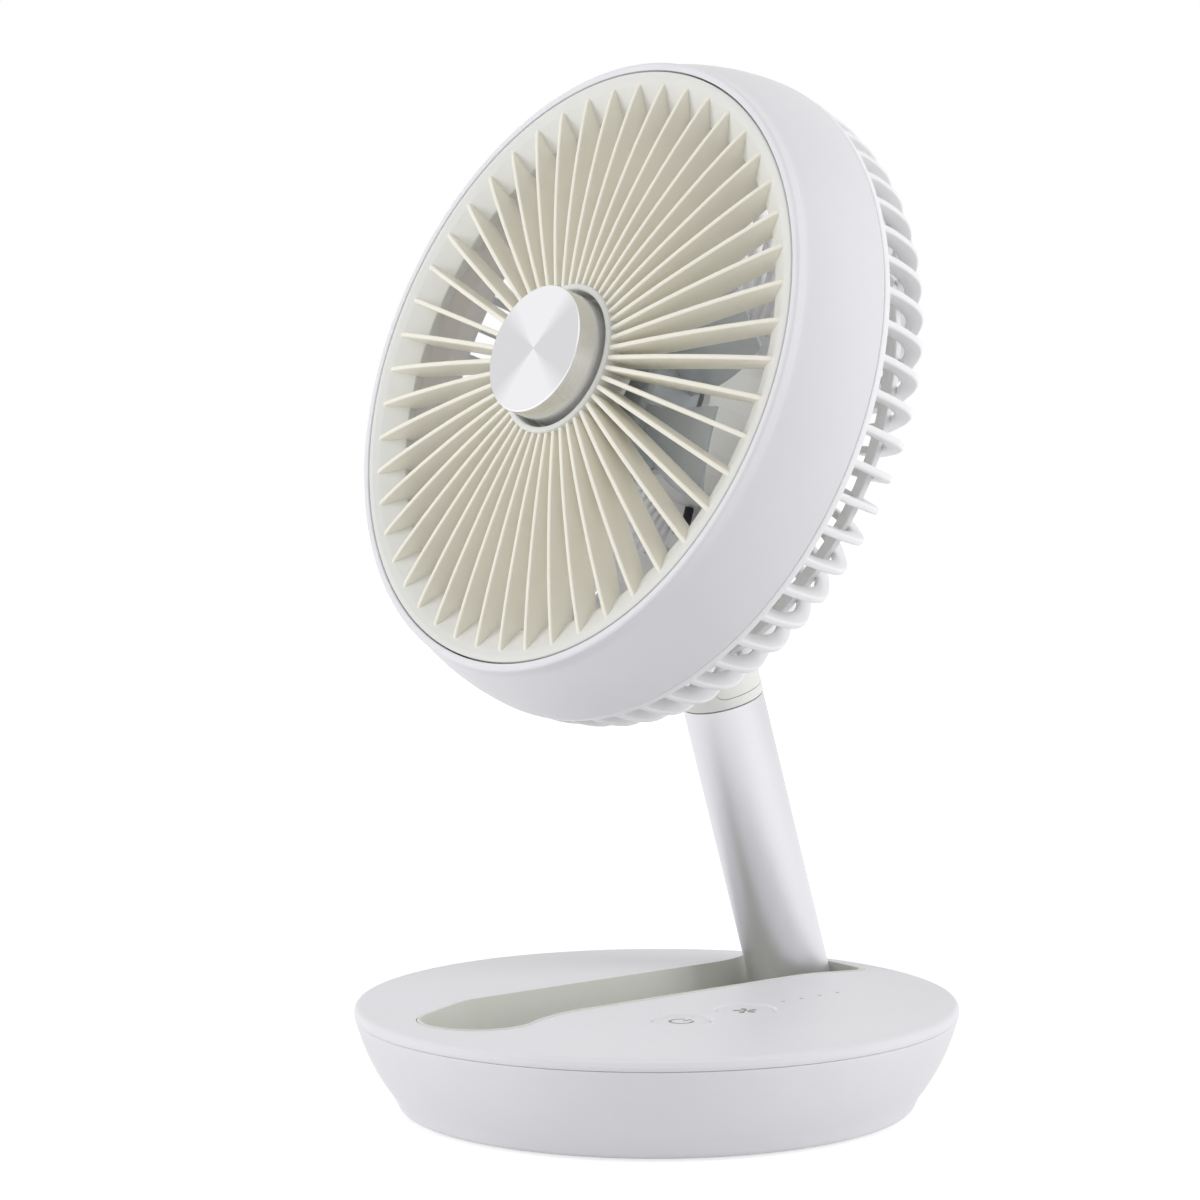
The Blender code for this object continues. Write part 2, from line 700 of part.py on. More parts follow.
def make_button(name, y, material):
    """A button whose origin is on its travel axis, at its top face."""
    edge = 0.6 * MM
    flange = LID_UNDERSIDE - GAP - BUTTON_TOP
    bottom = flange - BUTTON_FLANGE_HEIGHT
    stem = BOARD_TOP + 1.2 * MM + BUTTON_TRAVEL + GAP - BUTTON_TOP
    wide = BUTTON_RADIUS + BUTTON_FLANGE
    profile = [(0.0, 0.0), (BUTTON_RADIUS - edge, 0.0), (BUTTON_RADIUS, -edge)]
    profile += [(BUTTON_RADIUS, flange), (wide, flange), (wide, bottom)]
    profile += [(BUTTON_STEM_RADIUS, bottom), (BUTTON_STEM_RADIUS, stem), (0.0, stem)]
    button = turned(name, profile, SMALL_STEPS)
    publish(button, name, material)
    button.location = (BUTTON_X, y, BUTTON_TOP)


def make_control_board(material):
    half = BOARD_WIDTH / 2
    low = BOARD_TOP - BOARD_THICKNESS
    board = box("board", (BUTTON_X - half, BOARD_Y - BOARD_LENGTH / 2, low),
                (BUTTON_X + half, BOARD_Y + BOARD_LENGTH / 2, BOARD_TOP))
    side = SWITCH_SIDE / 2
    for y in (POWER_Y, SPEED_Y):
        fuse(board, box("switch", (BUTTON_X - side, y - side, BOARD_TOP - BOARD_THICKNESS / 2),
                        (BUTTON_X + side, y + side, BOARD_TOP + 1.2 * MM)))
    chip = box("chip", (BUTTON_X - 5.0 * MM, BOARD_Y - 42.0 * MM, BOARD_TOP - BOARD_THICKNESS / 2),
               (BUTTON_X + 4.0 * MM, BOARD_Y - 34.0 * MM, BOARD_TOP + 1.0 * MM))
    publish(fuse(board, chip), "control_board", material)


def cell_places():
    return [CELL_X + i * CELL_PITCH for i in range(CELL_COUNT)]


def make_battery(tray_material, cell_material):
    floor = BOWL_FLOOR_TOP + GAP
    seat = floor + TRAY_WALL + GAP
    low = cell_places()[0] - CELL_RADIUS - GAP - TRAY_WALL
    high = cell_places()[-1] + CELL_RADIUS + GAP
    half = CELL_LENGTH / 2 + GAP
    wall = CELL_RADIUS
    tray = box("tray", (low, -half - TRAY_WALL, floor), (high, half + TRAY_WALL, seat + wall))
    cut(tray, box("tray_space", (low + TRAY_WALL, -half, seat - GAP),
                  (high + 10.0 * MM, half, seat + wall + 5.0 * MM)))
    keep(tray, bowl_space("tray_limit", BOWL_WALL + GAP, BASE_HEIGHT))
    publish(tray, "battery_holder", tray_material)
    for number, x in enumerate(cell_places(), start=1):
        edge = 0.8 * MM
        nub = 1.0 * MM
        length = CELL_LENGTH - nub
        profile = [(0.0, length + nub), (3.2 * MM, length + nub), (3.2 * MM, length)]
        profile += [(CELL_RADIUS - edge, length), (CELL_RADIUS, length - edge)]
        profile += [(CELL_RADIUS, 0.0), (0.0, 0.0)]
        cell = turned("cell", profile, 24)
        publish(cell, f"battery_cell_{number}", cell_material)
        cell.rotation_euler = (-math.pi / 2, 0.0, 0.0)
        cell.location = (x, -CELL_LENGTH / 2, seat + CELL_RADIUS)


def make_ballast(material):
    floor = BOWL_FLOOR_TOP + GAP
    right = CHANNEL_LEFT - LINER_WALL - BALLAST_MARGIN
    plate = box("ballast", (-BASE_RADIUS, -BASE_RADIUS, floor),
                (right, FLARE_Y - LINER_WALL - BALLAST_MARGIN, floor + BALLAST_THICKNESS))
    keep(plate, bowl_space("ballast_limit", BOWL_WALL + GAP, BASE_HEIGHT))
    publish(plate, "ballast_plate", material)


def make_charge_socket(metal, board_material):
    half = SOCKET_WIDTH / 2
    rise = SOCKET_HEIGHT / 2
    mouth = socket_mouth()
    shell = box("socket", (mouth - SOCKET_LENGTH, -half, SOCKET_Z - rise),
                (mouth, half, SOCKET_Z + rise))
    space = box("socket_space", (mouth - SOCKET_LENGTH + 1.0 * MM, -half + SOCKET_WALL,
                                 SOCKET_Z - rise + SOCKET_WALL),
                (mouth + 5.0 * MM, half - SOCKET_WALL, SOCKET_Z + rise - SOCKET_WALL))
    tongue = box("tongue", (mouth - SOCKET_LENGTH + 0.5 * MM, -3.2 * MM, SOCKET_Z - 0.35 * MM),
                 (mouth - 1.0 * MM, 3.2 * MM, SOCKET_Z + 0.35 * MM))
    fuse(cut(shell, space), tongue)
    publish(shell, "charge_socket", metal)
    shell.rotation_euler = (0.0, 0.0, SOCKET_ANGLE)
    top = SOCKET_Z - rise - GAP
    board = box("socket_board", (mouth - SOCKET_BOARD_SET - SOCKET_BOARD_LENGTH,
                                 -SOCKET_BOARD_WIDTH / 2, top - SOCKET_BOARD_THICKNESS),
                (mouth - SOCKET_BOARD_SET, SOCKET_BOARD_WIDTH / 2, top))
    publish(board, "charge_board", board_material)
    board.rotation_euler = (0.0, 0.0, SOCKET_ANGLE)


def make_base(m):
    make_pad(m["rubber"])
    make_bowl(m["white"])
    make_lid(m["white"])
    make_liner(m["liner"])
    make_light_guide(m["lens"])
    make_button("power_button", POWER_Y, m["button"])
    make_button("speed_button", SPEED_Y, m["button"])
    make_control_board(m["board"])
    make_battery(m["black"], m["cell"])
    make_ballast(m["steel"])
    make_charge_socket(m["steel"], m["board"])


# Lower hinge and arm

def make_hinge_bracket(material, pin_material, washer_material):
    floor = LINER_FLOOR_TOP + GAP
    inner = KNUCKLE_HALF + 2 * GAP + WASHER_THICKNESS
    outer = inner + EAR_THICKNESS
    ears = []
    tangent_z = PIVOT_Z - floor
    profile = [(-BRACKET_FRONT, -tangent_z), (-BRACKET_REAR, -tangent_z)]
    profile += arc((0.0, 0.0), EAR_RADIUS, -20, 200, 12)
    for side in (-1, 1):
        low, high = sorted((side * inner, side * outer))
        ears.append(side_prism("ear", profile, low, high))
    plate = box("bracket_plate", (-outer + 0.5 * MM, -BRACKET_FRONT, -tangent_z),
                (outer - 0.5 * MM, -BRACKET_REAR - 0.5 * MM, -tangent_z + BRACKET_THICKNESS))
    bracket = fuse(group("ears", ears), plate)
    cut(bracket, rod("pin_hole", (0.0, 0.0), LOWER_PIN_RADIUS + GAP, -30 * MM, 30 * MM, "X"))
    publish(bracket, "hinge_bracket", material)
    bracket.location = (ARM_X, PIVOT_Y, PIVOT_Z)
    pin = rod("pin", (0.0, 0.0), LOWER_PIN_RADIUS, -outer - 0.5 * MM, outer + 0.5 * MM, "X")
    publish(pin, "lower_hinge_pin", pin_material)
    pin.location = (ARM_X, PIVOT_Y, PIVOT_Z)
    for side, name in ((-1, "friction_washer_left"), (1, "friction_washer_right")):
        near = KNUCKLE_HALF + GAP
        low, high = sorted((side * near, side * (near + WASHER_THICKNESS)))
        washer = rod("washer", (0.0, 0.0), WASHER_RADIUS, low, high, "X", SMALL_STEPS)
        cut(washer, rod("washer_hole", (0.0, 0.0), LOWER_PIN_RADIUS + GAP, -30 * MM, 30 * MM, "X"))
        publish(washer, name, washer_material).location = (ARM_X, PIVOT_Y, PIVOT_Z)


def make_arm_foot(pivot, material):
    inner = TUBE_RADIUS - TUBE_WALL - GAP
    flange_top = TUBE_START - GAP
    flange_low = flange_top - FOOT_FLANGE
    edge = TUBE_RADIUS - FOOT_FLANGE_INSET
    profile = [(0.0, flange_top + SPIGOT_LENGTH), (inner - 0.6 * MM, flange_top + SPIGOT_LENGTH)]
    profile += [(inner, flange_top + SPIGOT_LENGTH - 0.6 * MM), (inner, flange_top)]
    profile += [(edge, flange_top), (edge, flange_low), (0.0, flange_low)]
    foot = group("foot", [turned("foot_plug", profile, SMALL_STEPS)])
    foot.data.transform(Matrix.Translation((0.0, TUBE_SET, 0.0)))
    reach = edge - 2.0 * MM
    root = flange_low + FOOT_FLANGE / 2
    outline = [(TUBE_SET + reach, root), (TUBE_SET - reach, root)]
    outline += arc((0.0, 0.0), KNUCKLE_RADIUS, 190, 330, 10)
    fuse(foot, side_prism("tongue", outline, -KNUCKLE_HALF, KNUCKLE_HALF))
    cut(foot, rod("pin_hole", (0.0, 0.0), LOWER_PIN_RADIUS + GAP, -30 * MM, 30 * MM, "X"))
    publish(foot, "arm_foot", material, pivot)


def make_tube(pivot, material):
    inner = TUBE_RADIUS - TUBE_WALL
    profile = [(inner, TUBE_END), (TUBE_RADIUS, TUBE_END), (TUBE_RADIUS, TUBE_START),
               (inner, TUBE_START)]
    tube = publish(turned("tube", profile, 36, closed=True), "arm_tube", material, pivot)
    tube.location = (0.0, TUBE_SET, 0.0)


def crown(x):
    """Height of the cap's rounded top at a distance x from its middle plane."""
    share = min(1.0, abs(x) / CAP_RADIUS)
    return CAP_SHOULDER + CROWN_SHOULDER + CROWN_RISE * math.sqrt(1 - share ** 2)


def crown_line(low, high, count):
    points = []
    for i in range(count + 1):
        x = low + (high - low) * i / count
        points.append((x, crown(x)))
    return points


def crown_side(name):
    """The cap's side outline, a round top over a straight body, about the tube's axis."""
    centre = CAP_SHOULDER + CROWN_CENTRE
    outline = [(-2 * CAP_RADIUS, 0.0), (2 * CAP_RADIUS, 0.0), (2 * CAP_RADIUS, centre)]
    outline += arc((0.0, centre), CAP_RADIUS + 0.05 * MM, 0, 180, 12)
    outline += [(-2 * CAP_RADIUS, centre)]
    return side_prism(name, outline, -2 * CAP_RADIUS, 2 * CAP_RADIUS)


def make_cap(pivot, material, cover_material, pin_material):
    spigot = TUBE_RADIUS - TUBE_WALL - GAP
    top = CAP_SHOULDER + 40.0 * MM
    profile = [(0.0, top), (CAP_RADIUS, top), (CAP_RADIUS, CAP_START), (spigot, CAP_START)]
    profile += [(spigot, CAP_START - SPIGOT_LENGTH), (0.0, CAP_START - SPIGOT_LENGTH)]
    cap = turned("cap", profile, 36)
    wide = 2 * CAP_RADIUS
    outline = [(-wide, 0.0), (wide, 0.0), (wide, CAP_SHOULDER), (CORE_HALF, CAP_SHOULDER)]
    outline += crown_line(CORE_HALF, -CORE_HALF, 8)
    outline += [(-CORE_HALF, CAP_SHOULDER), (-wide, CAP_SHOULDER)]
    keep(cap, front_prism("core_limit", outline, -wide, wide), crown_side("core_side"))
    front = -TUBE_SET + UPPER_PIVOT_SET
    slot = [(-wide, CAP_SHOULDER), (front + 5.0 * MM, CAP_SHOULDER),
            (front + 11.0 * MM, CAP_SHOULDER + SLOT_REAR_RISE), (wide, CAP_SHOULDER + SLOT_REAR_RISE),
            (wide, top), (-wide, top)]
    cut(cap, side_prism("slot", slot, -SLOT_HALF, SLOT_HALF))
    hole = (UPPER_PIVOT_SET - TUBE_SET, ARM_LENGTH)
    reach = UPPER_PIN_HALF + GAP
    cut(cap, rod("pin_hole", hole, UPPER_PIN_RADIUS + GAP, -reach, reach, "X"))
    publish(cap, "arm_cap", material, pivot).location = (0.0, TUBE_SET, 0.0)
    make_covers(pivot, cover_material)
    pin = rod("pin", (UPPER_PIVOT_SET, ARM_LENGTH), UPPER_PIN_RADIUS, -UPPER_PIN_HALF,
              UPPER_PIN_HALF, "X")
    publish(pin, "upper_hinge_pin", pin_material, pivot)


def make_covers(pivot, material):
    bottom = CAP_SHOULDER + GAP
    wide = 2 * CAP_RADIUS
    for side, name in ((-1, "cap_cover_left"), (1, "cap_cover_right")):
        solid = turned("cover", [(0.0, bottom + 40 * MM), (CAP_RADIUS, bottom + 40 * MM),
                                 (CAP_RADIUS, bottom), (0.0, bottom)], 36)
        near = side * (CORE_HALF + GAP)
        outline = [(near, bottom - MM), (side * wide, bottom - MM), (side * wide, crown(wide))]
        outline += crown_line(side * CAP_RADIUS, near, 4)
        keep(solid, front_prism("cover_limit", outline, -wide, wide), crown_side("cover_side"))
        reach = math.sqrt(CAP_RADIUS ** 2 - (CORE_HALF + GAP) ** 2)
        corners = [(-reach, bottom - MM / 100, COVER_CORNER), (reach, bottom - MM / 100, COVER_CORNER),
                   (reach, bottom + 60 * MM, 0.0), (-reach, bottom + 60 * MM, 0.0)]
        keep(solid, side_prism("cover_corner", rounded(corners), -wide, wide))
        publish(solid, name, material, pivot).location = (0.0, TUBE_SET, 0.0)


def make_arm(pivot, m):
    make_hinge_bracket(m["steel"], m["steel"], m["black"])
    make_arm_foot(pivot, m["cap"])
    make_tube(pivot, m["tube"])
    make_cap(pivot, m["cap"], m["cap"], m["steel"])


# Head

def make_neck(hinge, material):
    """The blade that carries the head; its origin is on the upper hinge."""
    rear = PIVOT_CLEARANCE
    front = rear + NECK_FOOT_THICKNESS
    half = NECK_WIDTH / 2
    outline = arc((0.0, 0.0), NECK_HUB_RADIUS, 190, 350, 12)
    outline += [(half, rear - 4.0 * MM), (half + 3.0 * MM, rear + NECK_FOOT_THICKNESS / 2)]
    outline += [(-half - 3.0 * MM, rear + NECK_FOOT_THICKNESS / 2), (-half, rear - 4.0 * MM)]
    blade = side_prism("blade", outline, -NECK_HALF, NECK_HALF)
    corner = 4.0 * MM
    foot = prism("neck_foot", rounded([(-NECK_FOOT_HALF_X, -NECK_FOOT_HALF_Y, corner),
                                       (NECK_FOOT_HALF_X, -NECK_FOOT_HALF_Y, corner),
                                       (NECK_FOOT_HALF_X, NECK_FOOT_HALF_Y, corner),
                                       (-NECK_FOOT_HALF_X, NECK_FOOT_HALF_Y, corner)]), rear, front)
    fuse(blade, foot)
    cut(blade, rod("pin_hole", (0.0, 0.0), UPPER_PIN_RADIUS + GAP, -30 * MM, 30 * MM, "X"))
    publish(blade, "neck", material, hinge)


def guard_outer():
    """The rear guard's outer side as (r, z), from the seam to the flat back."""
    return [(SEAM_RADIUS - SEAM_STEP, RING_FRONT - GUARD_RING / 2),
            (SEAM_RADIUS - SHOULDER_INSET, -SHOULDER_DEPTH), (SEAM_RADIUS - BEND_INSET, -BEND_DEPTH),
            (SEAM_RADIUS - HEEL_INSET, -HEEL_DEPTH), (SEAM_RADIUS - FLAT_INSET, GUARD_BACK)]


def guard_inner():
    """The ribs' inner side, from the centre plate out to the seam."""
    return [(SEAM_RADIUS - INNER_FLAT_INSET, GUARD_BACK + RIB_DEPTH),
            (SEAM_RADIUS - INNER_HEEL_INSET, -INNER_HEEL_DEPTH),
            (SEAM_RADIUS - INNER_BEND_INSET, -INNER_BEND_DEPTH),
            (SEAM_RADIUS - GUARD_RING_DEPTH + RIB_LAP, RING_FRONT - GUARD_RING / 2)]


def make_rear_guard(head, material):
    root = CENTRE_RADIUS - RIB_LAP
    outline = guard_outer() + [(root, GUARD_BACK)]
    outline += [(root, GUARD_BACK + RIB_DEPTH)] + guard_inner()
    rib = front_prism("rib", outline, -RIB_THICKNESS / 2, RIB_THICKNESS / 2)
    ribs = ring_of(rib, RIB_COUNT, math.pi / 2)
    seam = turned("guard_seam", [(SEAM_RADIUS - GUARD_RING_DEPTH, RING_FRONT),
                                 (SEAM_RADIUS, RING_FRONT),
                                 (SEAM_RADIUS - SEAM_STEP / 2, RING_FRONT - GUARD_RING),
                                 (SEAM_RADIUS - GUARD_RING_DEPTH, RING_FRONT - GUARD_RING)],
                  RIB_COUNT, closed=True)
    outer = SEAM_RADIUS - BAND_OUTER_INSET
    inner = SEAM_RADIUS - BAND_INNER_INSET
    band = turned("guard_band", [(outer, -BAND_OUTER_DEPTH), (outer, -BAND_OUTER_DEPTH - BAND_THICKNESS),
                                 (inner, -BAND_INNER_DEPTH - BAND_THICKNESS),
                                 (inner, -BAND_INNER_DEPTH)], RIB_COUNT, closed=True)
    plate = turned("guard_plate", [(0.0, GUARD_BACK + RIB_DEPTH),
                                   (CENTRE_RADIUS, GUARD_BACK + RIB_DEPTH),
                                   (CENTRE_RADIUS, GUARD_BACK), (0.0, GUARD_BACK)], RIB_COUNT)
    for ring in (seam, band, plate):
        ring.rotation_euler = (0.0, 0.0, math.pi / 2)
    half_x = NECK_FOOT_HALF_X + GAP
    half_y = NECK_FOOT_HALF_Y + GAP
    floor = GUARD_BACK + NECK_FOOT_THICKNESS + GAP
    frame = box("pad_frame", (ARM_X - half_x - PAD_FRAME, -HEAD_DROP - half_y - PAD_FRAME,
                              GUARD_BACK),
                (ARM_X + half_x + PAD_FRAME, -HEAD_DROP + half_y + PAD_FRAME, floor + PAD_FLOOR))
    below = GUARD_BACK - PAD_FLOOR
    recess = box("pad_recess", (ARM_X - half_x, -HEAD_DROP - half_y, below),
                 (ARM_X + half_x, -HEAD_DROP + half_y, floor))
    outlet = rod("lead_hole", lead_route()[-1], LEAD_RADIUS + 2 * GAP, below, floor + 2 * PAD_FLOOR)
    fuse(ribs, seam, band, plate, frame)
    cut(ribs, recess, outlet)
    publish(ribs, "rear_guard", material, head)


def make_barrel(head, material):
    lip_back = -0.8 * MM
    seam = (SEAM_RADIUS, -SEAM_DEPTH)
    outer = bulged((LIP_RADIUS, lip_back), seam, BARREL_BULGE, 5)
    inside = bulged((LIP_RADIUS - BARREL_WALL, -DUCT_FRONT - DUCT_WALL),
                    (SEAM_RADIUS - BARREL_WALL, -SEAM_DEPTH), BARREL_BULGE / 2, 2)
    duct = DUCT_RADIUS + DUCT_WALL
    profile = [(MOUTH_RADIUS, 0.0), (MOUTH_RADIUS + LIP_HEIGHT, LIP_HEIGHT),
               (LIP_RADIUS - 2 * LIP_HEIGHT, LIP_HEIGHT)]
    profile += outer + list(reversed(inside))
    profile += [(duct, -DUCT_FRONT - DUCT_WALL), (duct, -DUCT_END), (DUCT_RADIUS, -DUCT_END)]
    profile += [(DUCT_RADIUS, -DUCT_FRONT), (MOUTH_RADIUS, -DUCT_FRONT)]
    barrel = turned("barrel", profile, LARGE_STEPS, closed=True)
    publish(barrel, "barrel", material, head)


def make_front_grille(head, material):
    slope = [(TIP_RADIUS, -0.2 * MM), (GRILLE_RADIUS - 0.5 * MM, 0.6 * MM)]
    skirt = THROAT_RADIUS + RING_WALL
    profile = slope + [(GRILLE_RADIUS, -1.6 * MM), (skirt, -DUCT_FRONT + 0.5 * MM)]
    profile += [(skirt, -GRILLE_REAR), (THROAT_RADIUS, -GRILLE_REAR)]
    profile += [(THROAT_RADIUS, -THROAT_DEPTH)]
    ring = turned("grille_ring", profile, FIN_COUNT, closed=True)
    inner = COLLAR_RADIUS - COLLAR_WALL
    collar = turned("collar", [(0.0, -COLLAR_REAR + COLLAR_WALL), (inner, -COLLAR_REAR + COLLAR_WALL),
                               (inner, COLLAR_FRONT), (COLLAR_RADIUS, COLLAR_FRONT),
                               (COLLAR_RADIUS, -COLLAR_REAR), (0.0, -COLLAR_REAR)], FIN_COUNT)
    root = COLLAR_RADIUS - 0.7 * MM
    end = THROAT_RADIUS + RING_WALL / 2
    span = TIP_RADIUS - COLLAR_RADIUS
    outline = [(TIP_RADIUS + 0.6 * MM, -0.8 * MM), (TIP_RADIUS - 1.0 * MM, 0.25 * MM)]
    outline += [(TIP_RADIUS - 0.3 * span, FIN_OUTER_RISE), (TIP_RADIUS - 0.65 * span, FIN_INNER_RISE)]
    outline += [(root, FIN_CROWN), (root, -FIN_ROOT_REAR), (end, -GRILLE_REAR + 0.5 * MM)]
    fin = front_prism("fin", outline, -FIN_THICKNESS / 2, FIN_THICKNESS / 2)
    fins = ring_of(fin, FIN_COUNT, math.pi / 2 + FIN_PHASE)
    for part in (ring, collar):
        part.rotation_euler = (0.0, 0.0, math.pi / 2 + FIN_PHASE)
    publish(fuse(fins, ring, collar), "front_grille", material, head)


def make_hub_cap(head, material):
    rim = -COLLAR_REAR + COLLAR_WALL + GAP
    wall = 2.0 * MM
    edge = CAP_DISC_EDGE
    profile = [(0.0, CAP_DISC_FRONT), (CAP_DISC_RADIUS - edge, CAP_DISC_FRONT),
               (CAP_DISC_RADIUS, CAP_DISC_FRONT - edge), (CAP_DISC_RADIUS, rim),
               (CAP_DISC_RADIUS - wall, rim), (CAP_DISC_RADIUS - wall, CAP_DISC_FRONT - wall),
               (0.0, CAP_DISC_FRONT - wall)]
    publish(turned("hub_cap", profile, 36), "hub_cap", material, head)


def make_motor(head, material):
    rear = GUARD_BACK + RIB_DEPTH + GAP
    front = rear + MOTOR_LENGTH
    bore = SHAFT_RADIUS + GAP
    edge = 1.5 * MM
    profile = [(0.0, rear + MM * 10), (bore, rear + MM * 10), (bore, front)]
    profile += [(MOTOR_RADIUS - edge, front), (MOTOR_RADIUS, front - edge), (MOTOR_RADIUS, rear + edge)]
    profile += [(MOTOR_RADIUS - edge, rear), (0.0, rear)]
    publish(turned("motor", profile, SMALL_STEPS), "motor_case", material, head)


def lead_route():
    """Middle line of the motor's lead across the guard, down to its outlet in the pad."""
    start = -MOTOR_RADIUS - 2 * GAP
    leave = -CLIP_Y - LEAD_STRAIGHT
    end = (ARM_X + OUTLET_X, -HEAD_DROP + OUTLET_Y)
    route = [(0.0, start), (LEAD_X / 2, start - LEAD_STRAIGHT), (LEAD_X, -CLIP_Y + LEAD_STRAIGHT),
             (LEAD_X, leave)]
    for across, down in LEAD_BEND:
        route.append((LEAD_X + (end[0] - LEAD_X) * across, leave + (end[1] - leave) * down))
    return route + [end]


def make_lead(head, material, clip_material):
    """The motor's black lead, clipped at the centre plate, and its clip."""
    floor = GUARD_BACK + NECK_FOOT_THICKNESS + GAP + PAD_FLOOR
    height = floor + GAP + LEAD_RADIUS
    route = [(x, y, height) for x, y in lead_route()]
    end_x, end_y = lead_route()[-1]
    route[-1] = (end_x + 1.2 * MM, end_y, height - 0.5 * MM)
    route += [(end_x, end_y, height - 2.4 * MM), (end_x, end_y, floor - PAD_FLOOR + GAP)]
    points = smooth_route(route, 2)
    curve = bpy.data.curves.new("lead", "CURVE")
    curve.dimensions = "3D"
    curve.bevel_depth = LEAD_RADIUS
    curve.bevel_resolution = 2
    curve.use_fill_caps = True
    spline = curve.splines.new("POLY")
    spline.points.add(len(points) - 1)
    for point, place in zip(spline.points, points):
        point.co = (*place, 1.0)
    publish(curve_to_mesh("lead", curve), "motor_lead", material, head)
    half = CLIP_WIDTH / 2
    low = GUARD_BACK + RIB_DEPTH + GAP
    clip = box("clip", (LEAD_X - half, -CLIP_Y - CLIP_LENGTH / 2, low),
               (LEAD_X + half, -CLIP_Y + CLIP_LENGTH / 2, height + LEAD_RADIUS + 1.0 * MM))
    room = LEAD_RADIUS + 2 * GAP
    cut(clip, box("clip_slot", (LEAD_X - room, -CLIP_Y - CLIP_LENGTH, height - room),
                  (LEAD_X + room, -CLIP_Y + CLIP_LENGTH, height + room)))
    publish(clip, "lead_clip", clip_material, head)


def smooth_route(route, steps):
    """Points on a smooth curve through the route's own points."""
    route = [Vector(point) for point in route]
    ends = [route[0] * 2 - route[1]] + route + [route[-1] * 2 - route[-2]]
    points = []
    for a, b, c, d in zip(ends, ends[1:], ends[2:], ends[3:]):
        for i in range(steps):
            t = i / steps
            points.append(0.5 * (2 * b + (c - a) * t + (2 * a - 5 * b + 4 * c - d) * t * t
                                 + (3 * b - a - 3 * c + d) * t ** 3))
    return points + [route[-1]]


def make_rotor(head, material, shaft_material):
    """Hub and blades, with their origin on the motor's axis."""
    rear = -HUB_FRONT - HUB_LENGTH
    bore_end = -HUB_FRONT - HUB_WALL
    edge = 2.0 * MM
    profile = [(0.0, -HUB_FRONT), (HUB_RADIUS - edge, -HUB_FRONT), (HUB_RADIUS, -HUB_FRONT - edge)]
    profile += [(HUB_RADIUS, rear), (HUB_RADIUS - HUB_WALL, rear), (HUB_RADIUS - HUB_WALL, bore_end)]
    profile += [(BOSS_RADIUS, bore_end), (BOSS_RADIUS, rear + 4 * MM)]
    profile += [(SHAFT_RADIUS + GAP, rear + 4 * MM), (SHAFT_RADIUS + GAP, bore_end), (0.0, bore_end)]
    hub = turned("hub", profile, 4 * BLADE_COUNT)
    blade = make_blade()
    blades = ring_of(blade, BLADE_COUNT)
    publish(fuse(blades, hub), "rotor", material, head)
    shaft = rod("shaft", (0.0, 0.0), SHAFT_RADIUS, GUARD_BACK + RIB_DEPTH + 11.0 * MM,
                bore_end - GAP)
    publish(shaft, "motor_shaft", shaft_material, head)


def make_blade():
    """One twisted and swept blade, a grid surface that Solidify thickens."""
    across = 4
    along = 4
    work = bmesh.new()
    bmesh.ops.create_grid(work, x_segments=across, y_segments=along, size=0.5)
    root = HUB_RADIUS - 1.2 * MM
    middle = -HUB_FRONT - HUB_LENGTH / 2
    for vert in work.verts:
        share = vert.co.y + 0.5
        radius = root + (BLADE_RADIUS - root) * share
        pitch = BLADE_ROOT_PITCH + (BLADE_TIP_PITCH - BLADE_ROOT_PITCH) * share
        chord = BLADE_ROOT_CHORD + (BLADE_TIP_CHORD - BLADE_ROOT_CHORD) * math.sin(share * math.pi / 2)
        run = vert.co.x * chord
        camber = 0.08 * chord * (1 - 4 * vert.co.x ** 2)
        flat = run * math.cos(pitch) - camber * math.sin(pitch)
        rise = run * math.sin(pitch) + camber * math.cos(pitch)
        angle = flat / radius + BLADE_SWEEP * share + BLADE_PHASE
        vert.co = (radius * math.cos(angle), radius * math.sin(angle), middle + rise)
    mesh = bpy.data.meshes.new("blade")
    work.to_mesh(mesh)
    work.free()
    blade = add_mesh("blade_sheet", mesh)
    solid = blade.modifiers.new("thickness", "SOLIDIFY")
    solid.thickness = BLADE_THICKNESS
    solid.offset = 0.0
    return group("blade", [blade])


def make_head(hinge, head, m):
    make_neck(hinge, m["cap"])
    make_rear_guard(head, m["guard"])
    make_barrel(head, m["white"])
    make_front_grille(head, m["cream"])
    make_hub_cap(head, m["aluminium"])
    make_motor(head, m["cap"])
    make_lead(head, m["black"], m["guard"])
    make_rotor(head, m["blade"], m["steel"])


def make_materials():
    return {
        "white": make_material("white_plastic", (0.83, 0.83, 0.86), 0.42),
        "button": make_material("button_plastic", (0.83, 0.83, 0.85), 0.45),
        "cap": make_material("hinge_cap_plastic", (0.8, 0.8, 0.77), 0.42),
        "cream": make_material("cream_plastic", (0.8, 0.79, 0.72), 0.36),
        "liner": make_material("liner_plastic", (0.72, 0.73, 0.69), 0.45),
        "guard": make_material("guard_plastic", (0.86, 0.86, 0.88), 0.38),
        "tube": make_material("satin_aluminium", (0.78, 0.79, 0.81), 0.3, 1.0),
        "aluminium": make_material("spun_aluminium", (0.86, 0.86, 0.87), 0.26, 1.0),
        "steel": make_material("steel", (0.4, 0.4, 0.4), 0.32, 1.0),
        "rubber": make_material("pad_rubber", (0.2, 0.23, 0.32), 0.8),
        "black": make_material("black_plastic", (0.01, 0.01, 0.01), 0.45),
        "board": make_material("board_resin", (0.02, 0.12, 0.04), 0.4),
        "cell": make_material("cell_sleeve", (0.05, 0.16, 0.42), 0.3),
        "lens": make_material("lens_plastic", (0.58, 0.58, 0.6), 0.3),
        "blade": make_material("smoky_plastic", (0.45, 0.5, 0.55), 0.3),
    }


